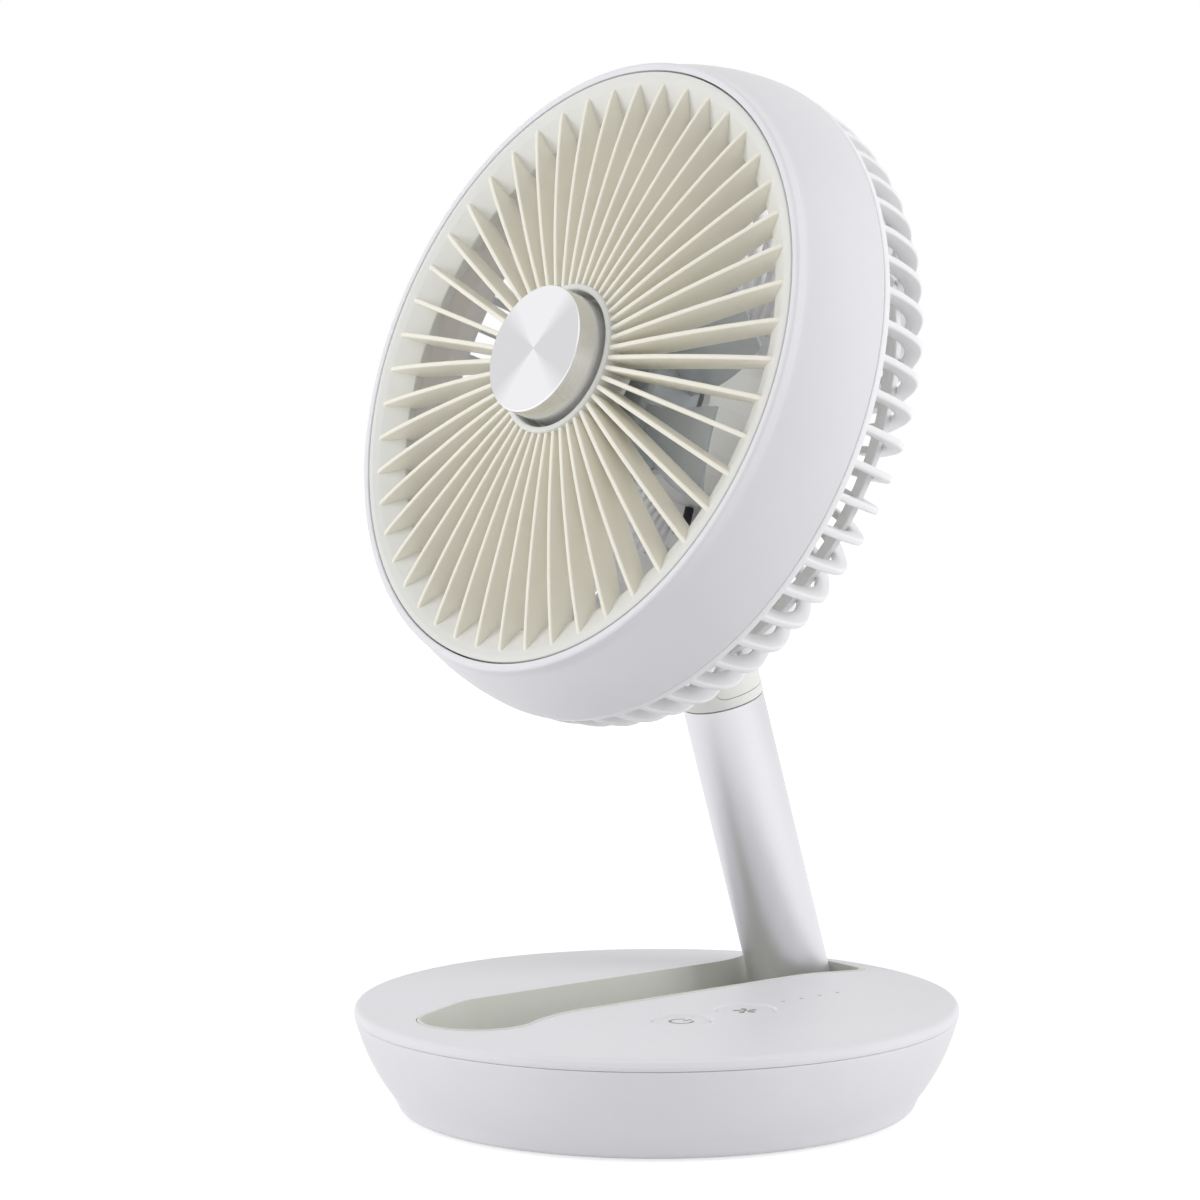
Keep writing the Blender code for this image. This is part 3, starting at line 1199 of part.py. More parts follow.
def main():
    clear_scene()
    materials = make_materials()
    pivot = make_empty("arm_pivot", (ARM_X, PIVOT_Y, PIVOT_Z), ARM_LEAN)
    hinge = make_empty("head_pivot", (0.0, UPPER_PIVOT_SET, ARM_LENGTH),
                       math.pi / 2 - HEAD_TILT - ARM_LEAN, pivot)
    head = make_empty("head_axis", (-ARM_X, HEAD_DROP, PIVOT_DEPTH), 0.0, hinge)
    make_base(materials)
    make_arm(pivot, materials)
    make_head(hinge, head, materials)


main()
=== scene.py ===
# %% [markdown]
# # A cordless desk fan
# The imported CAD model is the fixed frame: it says where each piece is and how it moves.
# This lesson dresses that frame in finer pieces and finishes. Each new piece is modelled
# at the place where it belongs and rides on one of the frame's bodies.
# %% Load the frame
import json
import math

import bmesh
import bpy
from mathutils import Matrix, Vector


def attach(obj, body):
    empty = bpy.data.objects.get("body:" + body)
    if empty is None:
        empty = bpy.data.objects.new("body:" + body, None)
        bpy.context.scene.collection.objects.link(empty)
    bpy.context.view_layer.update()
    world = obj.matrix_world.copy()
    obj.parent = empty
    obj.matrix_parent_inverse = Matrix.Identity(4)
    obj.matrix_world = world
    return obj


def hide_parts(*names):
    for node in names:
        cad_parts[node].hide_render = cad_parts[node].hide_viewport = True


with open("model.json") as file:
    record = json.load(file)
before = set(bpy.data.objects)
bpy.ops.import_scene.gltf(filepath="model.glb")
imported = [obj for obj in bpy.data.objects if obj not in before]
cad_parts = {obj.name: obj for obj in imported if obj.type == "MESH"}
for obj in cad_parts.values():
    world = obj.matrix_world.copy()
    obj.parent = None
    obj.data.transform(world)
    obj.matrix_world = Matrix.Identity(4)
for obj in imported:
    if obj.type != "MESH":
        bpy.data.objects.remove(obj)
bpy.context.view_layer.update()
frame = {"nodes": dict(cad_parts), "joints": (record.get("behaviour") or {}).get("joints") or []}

MM = 0.001
joints = {joint["name"]: joint for joint in frame["joints"]}

# %% [markdown]
# ## The camera
# A product photograph is taken from a distance with a long lens, so that round things stay
# round. The camera stands 1.32 m away, to the right of the fan's front and a little above
# it. Its direction is given as angles round the base, and its axes make the matrix.
# %% Place the camera
FOCAL_PIXELS = 3764.7
IMAGE_PIXELS = 1200
SENSOR_WIDTH = 36.0
CAMERA_AZIMUTH = math.radians(49.74)
CAMERA_HEIGHT = math.radians(12.155)
CAMERA_DISTANCE = 1.3236
AIM_ACROSS = math.radians(0.842)
AIM_UP = math.radians(7.625)
AIM_ROLL = math.radians(-0.102)


def new_object(name, data):
    """A new object in the scene."""
    item = bpy.data.objects.new(name, data)
    bpy.context.scene.collection.objects.link(item)
    return item


def turned_about(axis, angle, *vectors):
    """The vectors, turned about an axis by an angle."""
    return [Matrix.Rotation(angle, 3, axis) @ vector for vector in vectors]


def direction(azimuth, height):
    """The way out from the fan: azimuth 0 is the front and 90 degrees its right side."""
    level = math.cos(height)
    return Vector((math.sin(azimuth) * level, -math.cos(azimuth) * level, math.sin(height)))


def camera_matrix():
    """The camera's place and axes as one matrix."""
    back = direction(CAMERA_AZIMUTH, CAMERA_HEIGHT)
    right = Vector((math.cos(CAMERA_AZIMUTH), math.sin(CAMERA_AZIMUTH), 0.0))
    up = back.cross(right)
    place = back * CAMERA_DISTANCE
    right, back = turned_about(up, AIM_ACROSS, right, back)
    up, back = turned_about(right, AIM_UP, up, back)
    right, up = turned_about(back, AIM_ROLL, right, up)
    axes = Matrix((right, up, back)).transposed()
    return Matrix.Translation(place) @ axes.to_4x4()


camera = new_object("camera", bpy.data.cameras.new("camera"))
camera.data.sensor_width = SENSOR_WIDTH
camera.data.sensor_fit = "HORIZONTAL"
camera.data.lens = FOCAL_PIXELS * SENSOR_WIDTH / IMAGE_PIXELS
camera.data.clip_start = 0.05
camera.data.clip_end = 50.0
camera.matrix_world = camera_matrix()
bpy.context.scene.camera = camera
print("lens", round(camera.data.lens, 1), "mm, camera at", [round(x, 3) for x in camera.location])

# %% [markdown]
# ## Node helpers
# Every finish is a small network of shader nodes. A few helpers keep the cells short: one
# sets fixed values, one adds a node, and one joins an output socket to an input socket.
# %% Define the node helpers


def set_inputs(node, **values):
    """Set fixed values on a node's input sockets by name."""
    for key, value in values.items():
        node.inputs[key.replace("_", " ")].default_value = value


def add_node(tree, kind, settings=None, **values):
    """Add a shader node, set its settings, then its inputs."""
    node = tree.nodes.new("ShaderNode" + kind)
    for key, value in (settings or {}).items():
        setattr(node, key, value)
    set_inputs(node, **values)
    return node


def join(start, end):
    """Join two sockets of one node tree."""
    end.id_data.links.new(start, end)


def colour(red, green, blue):
    """A colour given as it looks on a screen, from 0 to 255, as a linear colour."""
    linear = []
    for part in (red, green, blue):
        share = part / 255
        if share <= 0.04045:
            linear.append(share / 12.92)
        else:
            linear.append(((share + 0.055) / 1.055) ** 2.4)
    return (*linear, 1.0)


# %% [markdown]
# ## Floor, background and lamps
# The fan stands in a white studio. The background is full white only to the camera, to glossy
# and to see-through rays. To all else it is a soft even light, and three lamps add to it, so
# that a colour renders about as it is written. The two side lamps leave no mirror image on the
# metal. The floor adds its white by emission, which rises away from the fan, so that it still
# shows a soft shadow where the base meets it.
# %% Make the studio
WORLD_LIGHT = 0.46
WHITE = (1.0, 1.0, 1.0, 1.0)
FLOOR_SHOWN = (0.42, 0.42, 0.43, 1.0)
FLOOR_BOUNCE = (0.84, 0.84, 0.84, 1.0)
LAMP_AIM = Vector((0.0, 0.0, 0.18))


def sees_background(tree):
    """A value that is 1 for camera, glossy and transmission rays."""
    path = add_node(tree, "LightPath")
    first = add_node(tree, "Math", {"operation": "MAXIMUM"})
    second = add_node(tree, "Math", {"operation": "MAXIMUM"})
    join(path.outputs["Is Camera Ray"], first.inputs[0])
    join(path.outputs["Is Glossy Ray"], first.inputs[1])
    join(first.outputs[0], second.inputs[0])
    join(path.outputs["Is Transmission Ray"], second.inputs[1])
    return second.outputs[0]


def make_world():
    """White to the camera, a soft even light to everything else."""
    world = bpy.data.worlds.new("studio")
    world.use_nodes = True
    tree = world.node_tree
    tree.nodes.clear()
    output = add_node(tree, "OutputWorld")
    white = add_node(tree, "Background", Color=WHITE, Strength=1.0)
    light = add_node(tree, "Background", Color=WHITE, Strength=WORLD_LIGHT)
    mix = add_node(tree, "MixShader")
    join(sees_background(tree), mix.inputs[0])
    join(light.outputs[0], mix.inputs[1])
    join(white.outputs[0], mix.inputs[2])
    join(mix.outputs[0], output.inputs["Surface"])
    bpy.context.scene.world = world


def floor_material():
    """Pale floor: a matt surface that shows shadow, lifted to white by emission."""
    material = bpy.data.materials.new("studio_floor")
    material.use_nodes = True
    tree = material.node_tree
    tree.nodes.clear()
    output = add_node(tree, "OutputMaterial")
    place = add_node(tree, "TexCoord")
    distance = add_node(tree, "VectorMath", {"operation": "LENGTH"})
    lift = add_node(tree, "MapRange", From_Min=0.12, From_Max=0.7, To_Min=0.74, To_Max=1.0)
    shown = add_node(tree, "BsdfDiffuse", Color=FLOOR_SHOWN)
    glow = add_node(tree, "Emission", Color=WHITE)
    both = add_node(tree, "AddShader")
    bounce = add_node(tree, "BsdfDiffuse", Color=FLOOR_BOUNCE)
    mix = add_node(tree, "MixShader")
    join(place.outputs["Object"], distance.inputs[0])
    join(distance.outputs["Value"], lift.inputs["Value"])
    join(lift.outputs["Result"], glow.inputs["Strength"])
    join(shown.outputs[0], both.inputs[0])
    join(glow.outputs[0], both.inputs[1])
    join(sees_background(tree), mix.inputs[0])
    join(bounce.outputs[0], mix.inputs[1])
    join(both.outputs[0], mix.inputs[2])
    join(mix.outputs[0], output.inputs["Surface"])
    return material


def make_floor():
    """A large square floor under the fan, kept out of the model."""
    work = bmesh.new()
    bmesh.ops.create_grid(work, x_segments=1, y_segments=1, size=4.0)
    mesh = bpy.data.meshes.new("studio_floor")
    work.to_mesh(mesh)
    work.free()
    mesh.materials.append(floor_material())
    floor = new_object("studio_floor", mesh)


def make_lamp(name, azimuth, height, distance, size, power, mirrored=True):
    """A soft lamp that looks at the fan from the given direction, in degrees and metres."""
    data = bpy.data.lights.new(name, "AREA")
    data.shape = "RECTANGLE"
    data.size, data.size_y = size
    data.energy = power
    lamp = new_object(name, data)
    away = direction(math.radians(azimuth), math.radians(height))
    lamp.location = LAMP_AIM + away * distance
    lamp.rotation_euler = away.to_track_quat("Z", "Y").to_euler()
    lamp.visible_camera = False
    lamp.visible_glossy = mirrored


make_world()
make_floor()
make_lamp("lamp_above", 40.0, 50.0, 1.6, (1.2, 1.2), 2.0)
make_lamp("lamp_left", -28.0, 12.0, 1.8, (1.0, 1.8), 17.2, mirrored=False)
make_lamp("lamp_right", 125.0, 16.0, 1.8, (1.0, 1.8), 16.6, mirrored=False)
bpy.context.scene.view_settings.view_transform = "Standard"

# %% [markdown]
# ## Shared surface effects
# Injection-moulded plastic has a fine matt grain and very slow clouds in its gloss. Turned
# aluminium has fine rings from the lathe, and two opposite fans of light are painted round its
# axis as a painted highlight.
# Each effect is a node group with named sockets, and a material places it with its own values
# and makes the bump itself.
# %% Build the effect groups
# The turn round the axis of the painted highlight's two fans.
PAINTED_FAN_TURN = math.radians(160.0)


def new_group(name, inputs, outputs):
    """An empty node group with float or vector inputs and float outputs."""
    tree = bpy.data.node_groups.new(name, "ShaderNodeTree")
    for label, kind, value in inputs:
        socket = tree.interface.new_socket(label, in_out="INPUT", socket_type=kind)
        if value is not None:
            socket.default_value = value
    for label in outputs:
        tree.interface.new_socket(label, in_out="OUTPUT", socket_type="NodeSocketFloat")
    return tree, tree.nodes.new("NodeGroupInput"), tree.nodes.new("NodeGroupOutput")


def make_grain_group():
    """Fine grain for bump and a slow cloud for gloss and tint."""
    tree, start, end = new_group("moulded_grain", [
        ("Vector", "NodeSocketVector", None),
        ("Grain Scale", "NodeSocketFloat", 3000.0),
        ("Cloud Scale", "NodeSocketFloat", 22.0),
    ], ["Grain", "Cloud"])
    grain = add_node(tree, "TexNoise", Detail=2.0, Roughness=0.6)
    cloud = add_node(tree, "TexNoise", Detail=3.0, Roughness=0.5)
    for node, scale, label in ((grain, "Grain Scale", "Grain"), (cloud, "Cloud Scale", "Cloud")):
        join(start.outputs["Vector"], node.inputs["Vector"])
        join(start.outputs[scale], node.inputs["Scale"])
        join(node.outputs[0], end.inputs[label])
    return tree


def make_turning_group():
    """Fine rings round the local Z axis, streaks along it and two fans of painted highlight across
    it.
    """
    tree, start, end = new_group("turning_lines", [
        ("Vector", "NodeSocketVector", None),
        ("Ring Scale", "NodeSocketFloat", 4000.0),
    ], ["Rings", "Streaks", "Painted Fans"])
    split = add_node(tree, "SeparateXYZ")
    flat = add_node(tree, "CombineXYZ")
    radius = add_node(tree, "VectorMath", {"operation": "LENGTH"})
    rings = add_node(tree, "TexNoise", {"noise_dimensions": "1D"}, Detail=3.0, Roughness=0.7)
    streaks = add_node(tree, "TexNoise", {"noise_dimensions": "1D"}, Detail=3.0, Roughness=0.7)
    # The painted highlight: two fans of light, computed from the angle round the axis.
    turn = add_node(tree, "Math", {"operation": "ARCTAN2"})
    double = add_node(tree, "Math", {"operation": "MULTIPLY_ADD"})
    double.inputs[1].default_value = 2.0
    double.inputs[2].default_value = PAINTED_FAN_TURN
    wave = add_node(tree, "Math", {"operation": "COSINE"})
    fans = add_node(tree, "MapRange", From_Min=-1.0, From_Max=1.0, To_Min=0.0, To_Max=1.0)
    join(start.outputs["Vector"], split.inputs[0])
    join(split.outputs["Y"], turn.inputs[0])
    join(split.outputs["X"], turn.inputs[1])
    join(turn.outputs[0], double.inputs[0])
    join(double.outputs[0], wave.inputs[0])
    join(wave.outputs[0], fans.inputs["Value"])
    join(fans.outputs["Result"], end.inputs["Painted Fans"])
    join(split.outputs["X"], flat.inputs["X"])
    join(split.outputs["Y"], flat.inputs["Y"])
    join(flat.outputs[0], radius.inputs[0])
    join(radius.outputs["Value"], rings.inputs["W"])
    join(split.outputs["Z"], streaks.inputs["W"])
    for node, label in ((rings, "Rings"), (streaks, "Streaks")):
        join(start.outputs["Ring Scale"], node.inputs["Scale"])
        join(node.outputs[0], end.inputs[label])
    return tree


grain_group = make_grain_group()
turning_group = make_turning_group()
print("effect groups", grain_group.name, turning_group.name)

# %% [markdown]
# ## Finishes
# The shell is bright white plastic with a faint cool tint. The grille's ring, the channel and
# the hinge cap are warmer whites. The fins are cream, a painted tint of the light that bounces
# between them, and the duct inside the barrel is a lighter, warmer white, painted light for
# what comes through its thin wall. All come from one recipe: a base colour that drifts a
# little, a roughness that drifts with it, and a grain so fine that it only softens the gloss.
# Metals use the turning lines instead.
# %% Make the plastic finishes
ROUGH_DRIFT = 0.03


def new_material(name, group, scale_name, scale, place=None):
    """A Principled material with one effect group that reads Object coordinates."""
    material = bpy.data.materials.new(name)
    material.use_nodes = True
    tree = material.node_tree
    shader = tree.nodes["Principled BSDF"]
    coordinates = add_node(tree, "TexCoord")
    effect = add_node(tree, "Group", {"node_tree": group})
    effect.inputs[scale_name].default_value = scale
    if place is None:
        join(coordinates.outputs["Object"], effect.inputs["Vector"])
    else:
        mapping = add_node(tree, "Mapping", {"vector_type": "TEXTURE"},
                           Location=place.translation, Rotation=place.to_euler())
        join(coordinates.outputs["Object"], mapping.inputs["Vector"])
        join(mapping.outputs["Vector"], effect.inputs["Vector"])
    return material, tree, shader, effect


def drift(tree, source, low, high, target):
    """Spread a 0 to 1 value between low and high and feed it to a socket."""
    spread = add_node(tree, "MapRange", From_Min=0.3, From_Max=0.7, To_Min=low, To_Max=high)
    join(source, spread.inputs["Value"])
    join(spread.outputs["Result"], target)


def tint(tree, source, first, second, target):
    """Mix two colours by a 0 to 1 value and feed the result to a socket."""
    ramp = add_node(tree, "ValToRGB")
    for stop, position, shade in zip(ramp.color_ramp.elements, (0.3, 0.7), (first, second)):
        stop.position = position
        stop.color = shade
    join(source, ramp.inputs["Fac"])
    join(ramp.outputs["Color"], target)


def bump(tree, shader, source, depth):
    """Bump from a height value; depth is in metres."""
    node = add_node(tree, "Bump", Strength=1.0, Distance=depth)
    join(source, node.inputs["Height"])
    join(node.outputs["Normal"], shader.inputs["Normal"])


def plastic(name, first, second, rough, grain_depth=0.004 * MM, grain_scale=2500.0, **extra):
    """Moulded plastic between two nearly equal colours."""
    material, tree, shader, effect = new_material(name, grain_group, "Grain Scale", grain_scale)
    cloud = effect.outputs["Cloud"]
    tint(tree, cloud, colour(*first), colour(*second), shader.inputs["Base Color"])
    drift(tree, cloud, rough - ROUGH_DRIFT, rough + ROUGH_DRIFT, shader.inputs["Roughness"])
    bump(tree, shader, effect.outputs["Grain"], grain_depth)
    set_inputs(shader, IOR=1.5, **extra)
    return material


white_plastic = plastic("white_plastic", (236, 236, 240), (239, 239, 243), 0.42)
guard_plastic = plastic("guard_plastic", (246, 246, 248), (248, 248, 250), 0.38)
ring_plastic = plastic("grille_ring_plastic", (231, 231, 227), (234, 234, 230), 0.36)
# The fins' cream is painted bounce light: the tint that light takes between the close fins.
fin_painted_bounce = plastic("fin_painted_bounce", (246, 242, 229), (248, 245, 232), 0.4)
# The duct's lighter, warmer white is painted light: it stands in for light that comes through the
# barrel's thin wall.
duct_painted_light = plastic("duct_painted_light", (250, 245, 241), (252, 247, 243), 0.4)
liner_plastic = plastic("liner_plastic", (222, 223, 217), (226, 227, 220), 0.45)
cap_plastic = plastic("cap_plastic", (240, 240, 236), (243, 243, 239), 0.42)
button_plastic = plastic("button_plastic", (236, 236, 239), (239, 239, 242), 0.45)
black_plastic = plastic("black_plastic", (22, 22, 23), (28, 28, 29), 0.45)
pad_rubber = plastic("pad_rubber", (136, 138, 164), (146, 148, 172), 0.8, 0.02 * MM, 1400.0)
sign_ink = plastic("sign_ink", (150, 141, 136), (160, 151, 146), 0.55)
blade_plastic = plastic("smoky_plastic", (212, 218, 222), (218, 224, 228), 0.22,
                        Transmission_Weight=0.45)
lens_plastic = plastic("lens_plastic", (150, 150, 152), (160, 160, 162), 0.3,
                       Transmission_Weight=0.3)
board_resin = plastic("board_resin", (26, 92, 52), (32, 104, 60), 0.4, 0.01 * MM, 1800.0)
cell_sleeve = plastic("cell_sleeve", (60, 110, 170), (66, 118, 178), 0.3)
print("plastics", len(bpy.data.materials))

# %% [markdown]
# ## Metals
# The tube is anodised: bead blasting leaves it satin with no direction. The hub cap is turned
# on a lathe. Its rings are finer than a pixel, so they only widen a highlight, and the two
# fans of light that they make are painted into the base colour: a painted highlight, lighter
# in two opposite sectors round the axis. Three places are named here: the head's, the arm's
# and the upper hinge's.
# %% Make the metals
FAN_AXIS = Vector(joints["fan_spin"]["axis"])
HEAD_TURN = Matrix.Rotation(math.radians(90.0 - 19.34), 4, "X")
ARM_TURN = Matrix.Rotation(math.radians(17.25), 4, "X")
HEAD_PLACE = Matrix.Translation((0.0, -0.0373984, 0.2580083)) @ HEAD_TURN
ARM_PLACE = Matrix.Translation((-0.0215, 0.0823, 0.0154)) @ ARM_TURN
HINGE_PLACE = Matrix.Translation((-0.0215, 0.0344196, 0.1593148)) @ HEAD_TURN


def metal(name, first, second, rough, lines, depth, place=None, group=None, scale=4000.0,
          shade=None):
    """A metal whose bump and tint come from outputs of an effect group."""
    chosen = group or turning_group
    scale_name = "Ring Scale" if chosen is turning_group else "Grain Scale"
    material, tree, shader, effect = new_material(name, chosen, scale_name, scale, place)
    tint(tree, effect.outputs[shade or lines], colour(*first), colour(*second),
         shader.inputs["Base Color"])
    drift(tree, effect.outputs[lines], rough - ROUGH_DRIFT, rough + ROUGH_DRIFT,
          shader.inputs["Roughness"])
    bump(tree, shader, effect.outputs[lines], depth)
    set_inputs(shader, Metallic=1.0)
    return material


tube_aluminium = metal("tube_aluminium", (221, 221, 224), (226, 226, 229), 0.42, "Grain",
                       0.006 * MM, group=grain_group, scale=3500.0)
# The face's two colours are painted highlight and shade: lighter in two opposite fans, darker
# between them.
cap_face_aluminium = metal("cap_face_aluminium", (217, 217, 219), (240, 240, 242), 0.2, "Rings",
                           0.03 * MM, HEAD_PLACE, shade="Painted Fans")
cap_side_aluminium = metal("cap_side_aluminium", (218, 218, 217), (240, 240, 239), 0.3, "Streaks",
                           0.012 * MM, HEAD_PLACE)
steel = metal("steel", (168, 168, 168), (178, 178, 178), 0.32, "Grain", 0.004 * MM,
              group=grain_group, scale=2500.0)
print("fan axis", [round(x, 3) for x in FAN_AXIS])

# %% [markdown]
# ## Shape helpers
# Most of this fan is turned, so most pieces are a profile that bmesh spins round an axis.
# Flat outlines with holes are easiest as a filled 2D curve with a bevel, which rounds every
# edge at once. Both are made at the local origin in millimetres and moved into place last.
# %% Define the shape helpers


def arched(start, end, rise, count):
    """Points from start to end on an arc that stands out by rise to the left of the way."""
    start, end = Vector(start), Vector(end)
    chord = end - start
    half = chord.length / 2
    radius = (half * half + rise * rise) / (2 * rise)
    left = Vector((-chord.y, chord.x)).normalized()
    centre = (start + end) / 2 - left * (radius - rise)
    span = math.asin(min(1.0, half / radius))
    points = []
    for i in range(count + 1):
        outward = Matrix.Rotation(span * (1 - 2 * i / count), 2) @ left
        points.append(tuple(centre + outward * radius))
    return points


def rounded(corners, count=6, closed=True):
    """An outline from (x, y, radius) corners; a radius of 0 keeps the corner sharp."""
    outline = []
    last_index = len(corners) - 1
    for i, (x, y, radius) in enumerate(corners):
        if radius <= 0 or (not closed and i in (0, last_index)):
            outline.append((x, y))
            continue
        corner = Vector((x, y))
        before = (Vector(corners[i - 1][:2]) - corner).normalized()
        after = (Vector(corners[(i + 1) % len(corners)][:2]) - corner).normalized()
        half = before.angle(after) / 2
        middle = corner + (before + after).normalized() * (radius / math.sin(half))
        first = corner + before * (radius / math.tan(half)) - middle
        last = corner + after * (radius / math.tan(half)) - middle
        turn = first.angle_signed(last)
        for k in range(count + 1):
            outline.append(tuple(middle + Matrix.Rotation(-turn * k / count, 2) @ first))
    return outline


def rounded_box(left, low, right, high, radius, count=6):
    """A rectangle with round corners as an outline."""
    return rounded([(left, low, radius), (right, low, radius), (right, high, radius),
                    (left, high, radius)], count)


def ring_points(centre, radius, start, end, count):
    """Points on an arc, angles in degrees."""
    points = []
    for i in range(count + 1):
        angle = math.radians(start + (end - start) * i / count)
        points.append((centre[0] + radius * math.cos(angle), centre[1] + radius * math.sin(angle)))
    return points


def circle(centre, radius, count=96):
    """A full circle as an outline."""
    return ring_points(centre, radius, 0.0, 360.0, count)[:-1]


def smooth_line(route, steps):
    """Points on a smooth line through the route's own points, in two or three dimensions."""
    route = [Vector(point) for point in route]
    ends = [route[0] * 2 - route[1]] + route + [route[-1] * 2 - route[-2]]
    points = []
    for a, b, c, d in zip(ends, ends[1:], ends[2:], ends[3:]):
        for i in range(steps):
            t = i / steps
            points.append(0.5 * (2 * b + (c - a) * t + (2 * a - 5 * b + 4 * c - d) * t * t
                                 + (3 * b - a - 3 * c + d) * t ** 3))
    return [tuple(point) for point in points + [route[-1]]]


def cleaned(work):
    """A bmesh with its doubled points merged and its faces turned outward."""
    bmesh.ops.remove_doubles(work, verts=work.verts[:], dist=0.0005 * MM)
    bmesh.ops.recalc_face_normals(work, faces=work.faces[:])
    return work


def spun(profile, steps, closed=False):
    """Spin an (r, z) profile in millimetres round Z into a solid; a closed one makes a ring."""
    work = bmesh.new()
    verts = [work.verts.new((r * MM, 0.0, z * MM)) for r, z in profile]
    edges = [work.edges.new(pair) for pair in zip(verts, verts[1:])]
    if closed:
        edges.append(work.edges.new((verts[-1], verts[0])))
    bmesh.ops.spin(work, geom=verts + edges, cent=(0, 0, 0), axis=(0, 0, 1), dvec=(0, 0, 0),
                   angle=math.tau, steps=steps, use_merge=True, use_duplicate=False)
    return cleaned(work)


def from_object(item):
    """The evaluated mesh of an object as a bmesh; the object is removed."""
    graph = bpy.context.evaluated_depsgraph_get()
    mesh = bpy.data.meshes.new_from_object(item.evaluated_get(graph))
    bpy.data.objects.remove(item)
    work = bmesh.new()
    work.from_mesh(mesh)
    bpy.data.meshes.remove(mesh)
    return work


def plate(outlines, low, high, edge=0.0):
    """Outlines in millimetres, filled (inner ones are holes) and raised from low to high."""
    curve = bpy.data.curves.new("outline", "CURVE")
    curve.dimensions = "2D"
    curve.fill_mode = "BOTH"
    curve.extrude = ((high - low) / 2 - edge) * MM
    if edge:
        curve.bevel_depth = edge * MM
        curve.bevel_resolution = 2
        curve.offset = -edge * MM
    for outline in outlines:
        spline = curve.splines.new("POLY")
        spline.points.add(len(outline) - 1)
        for point, (x, y) in zip(spline.points, outline):
            point.co = (x * MM, y * MM, 0.0, 1.0)
        spline.use_cyclic_u = True
    work = cleaned(from_object(new_object("outline", curve)))
    bmesh.ops.translate(work, vec=(0, 0, (low + high) / 2 * MM), verts=work.verts[:])
    return work


SIDEWAYS = Matrix(((0, 0, 1, 0), (1, 0, 0, 0), (0, 1, 0, 0), (0, 0, 0, 1)))
FRONTWAYS = Matrix(((1, 0, 0, 0), (0, 0, 1, 0), (0, 1, 0, 0), (0, 0, 0, 1)))


def moved(work, matrix):
    """A bmesh moved by a matrix; a mirroring matrix turns its faces round again."""
    bmesh.ops.transform(work, matrix=matrix, verts=work.verts[:])
    if matrix.determinant() < 0:
        bmesh.ops.reverse_faces(work, faces=work.faces[:])
    return work


def shifted(work, x, y, z):
    """A bmesh shifted by millimetres."""
    return moved(work, Matrix.Translation((x * MM, y * MM, z * MM)))


def joined(*works):
    """Several bmeshes in one."""
    first = works[0]
    for other in works[1:]:
        mesh = bpy.data.meshes.new("join")
        other.to_mesh(mesh)
        other.free()
        first.from_mesh(mesh)
        bpy.data.meshes.remove(mesh)
    return first


def as_object(work, name="tool"):
    """A bmesh as an object in the scene."""
    mesh = bpy.data.meshes.new(name)
    work.to_mesh(mesh)
    work.free()
    return new_object(name, mesh)


def combined(work, tool, operation):
    """The exact Boolean of two bmeshes."""
    item = as_object(work)
    other = as_object(tool)
    boolean = item.modifiers.new("boolean", "BOOLEAN")
    boolean.operation = operation
    boolean.solver = "EXACT"
    boolean.object = other
    bpy.context.view_layer.update()
    result = from_object(item)
    bpy.data.objects.remove(other)
    return result


def cut(work, *tools):
    """A bmesh less some others."""
    for tool in tools:
        work = combined(work, tool, "DIFFERENCE")
    return work


def within(work, *rooms):
    """The part of a bmesh that lies inside all the others."""
    for room in rooms:
        work = combined(work, room, "INTERSECT")
    return work


def repeated(work, count, phase=0.0):
    """Copies of a bmesh round Z, the first turned by phase degrees."""
    start = Matrix.Rotation(math.radians(phase), 3, "Z")
    bmesh.ops.rotate(work, matrix=start, verts=work.verts[:])
    first = work.verts[:] + work.edges[:] + work.faces[:]
    for i in range(1, count):
        copy = bmesh.ops.duplicate(work, geom=first)
        verts = [part for part in copy["geom"] if isinstance(part, bmesh.types.BMVert)]
        turn = Matrix.Rotation(math.tau * i / count, 3, "Z")
        bmesh.ops.rotate(work, matrix=turn, verts=verts)
    return work


def blade_from(outline, thickness, edge, segments):
    """A flat (r, z) outline with a thickness along Y and all its edges rounded."""
    work = bmesh.new()
    verts = [work.verts.new((r * MM, -thickness / 2 * MM, z * MM)) for r, z in outline]
    work.faces.new(verts)
    grown = bmesh.ops.extrude_face_region(work, geom=work.faces[:])
    top = [part for part in grown["geom"] if isinstance(part, bmesh.types.BMVert)]
    bmesh.ops.translate(work, vec=(0, thickness * MM, 0), verts=top)
    bmesh.ops.recalc_face_normals(work, faces=work.faces[:])
    sides = [face for face in work.faces if abs(face.normal.y) > 0.9]
    rims = list({line for face in sides for line in face.edges})
    bmesh.ops.bevel(work, geom=rims, offset=edge * MM, offset_type="OFFSET", segments=segments,
                    profile=0.5, affect="EDGES", clamp_overlap=True, material=-1)
    return work


def piece(work, name, body, material, place=None, instead_of=(), sharp=35.0, edge=0.0):
    """Turn a bmesh into a named piece that rides on a body."""
    if place is not None:
        moved(work, place)
    item = as_object(work, name)
    item.data.materials.append(material)
    item.data.shade_smooth()
    item.data.set_sharp_from_angle(angle=math.radians(sharp))
    if edge:
        bevel = item.modifiers.new("edge", "BEVEL")
        bevel.width = edge * MM
        bevel.segments = 2
        bevel.limit_method = "ANGLE"
        bevel.angle_limit = math.radians(40.0)
        bevel.harden_normals = True
    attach(item, body)
    if instead_of:
        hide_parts(*instead_of)
    print(name, len(item.data.polygons), "faces")
    return item


# %% [markdown]
# ## The base
# The base is a shallow bowl under a flat lid. Its side leans in and bulges slightly, and the
# lid overhangs it at a thin seam. The bowl is spun from one profile, and a rounded port for
# the charger is cut through its rear side. A thin pad shows as a line under it.
# %% Turn the bowl and its pad
BASE_STEPS = 192
SEAM = 32.7
LID_TOP = 36.8
HALF_GAP = 0.08
PAD_RADIUS = 83.3
PORT_ANGLE = 64.0
PORT_PLACE = (0.098, 0.0, 0.019)


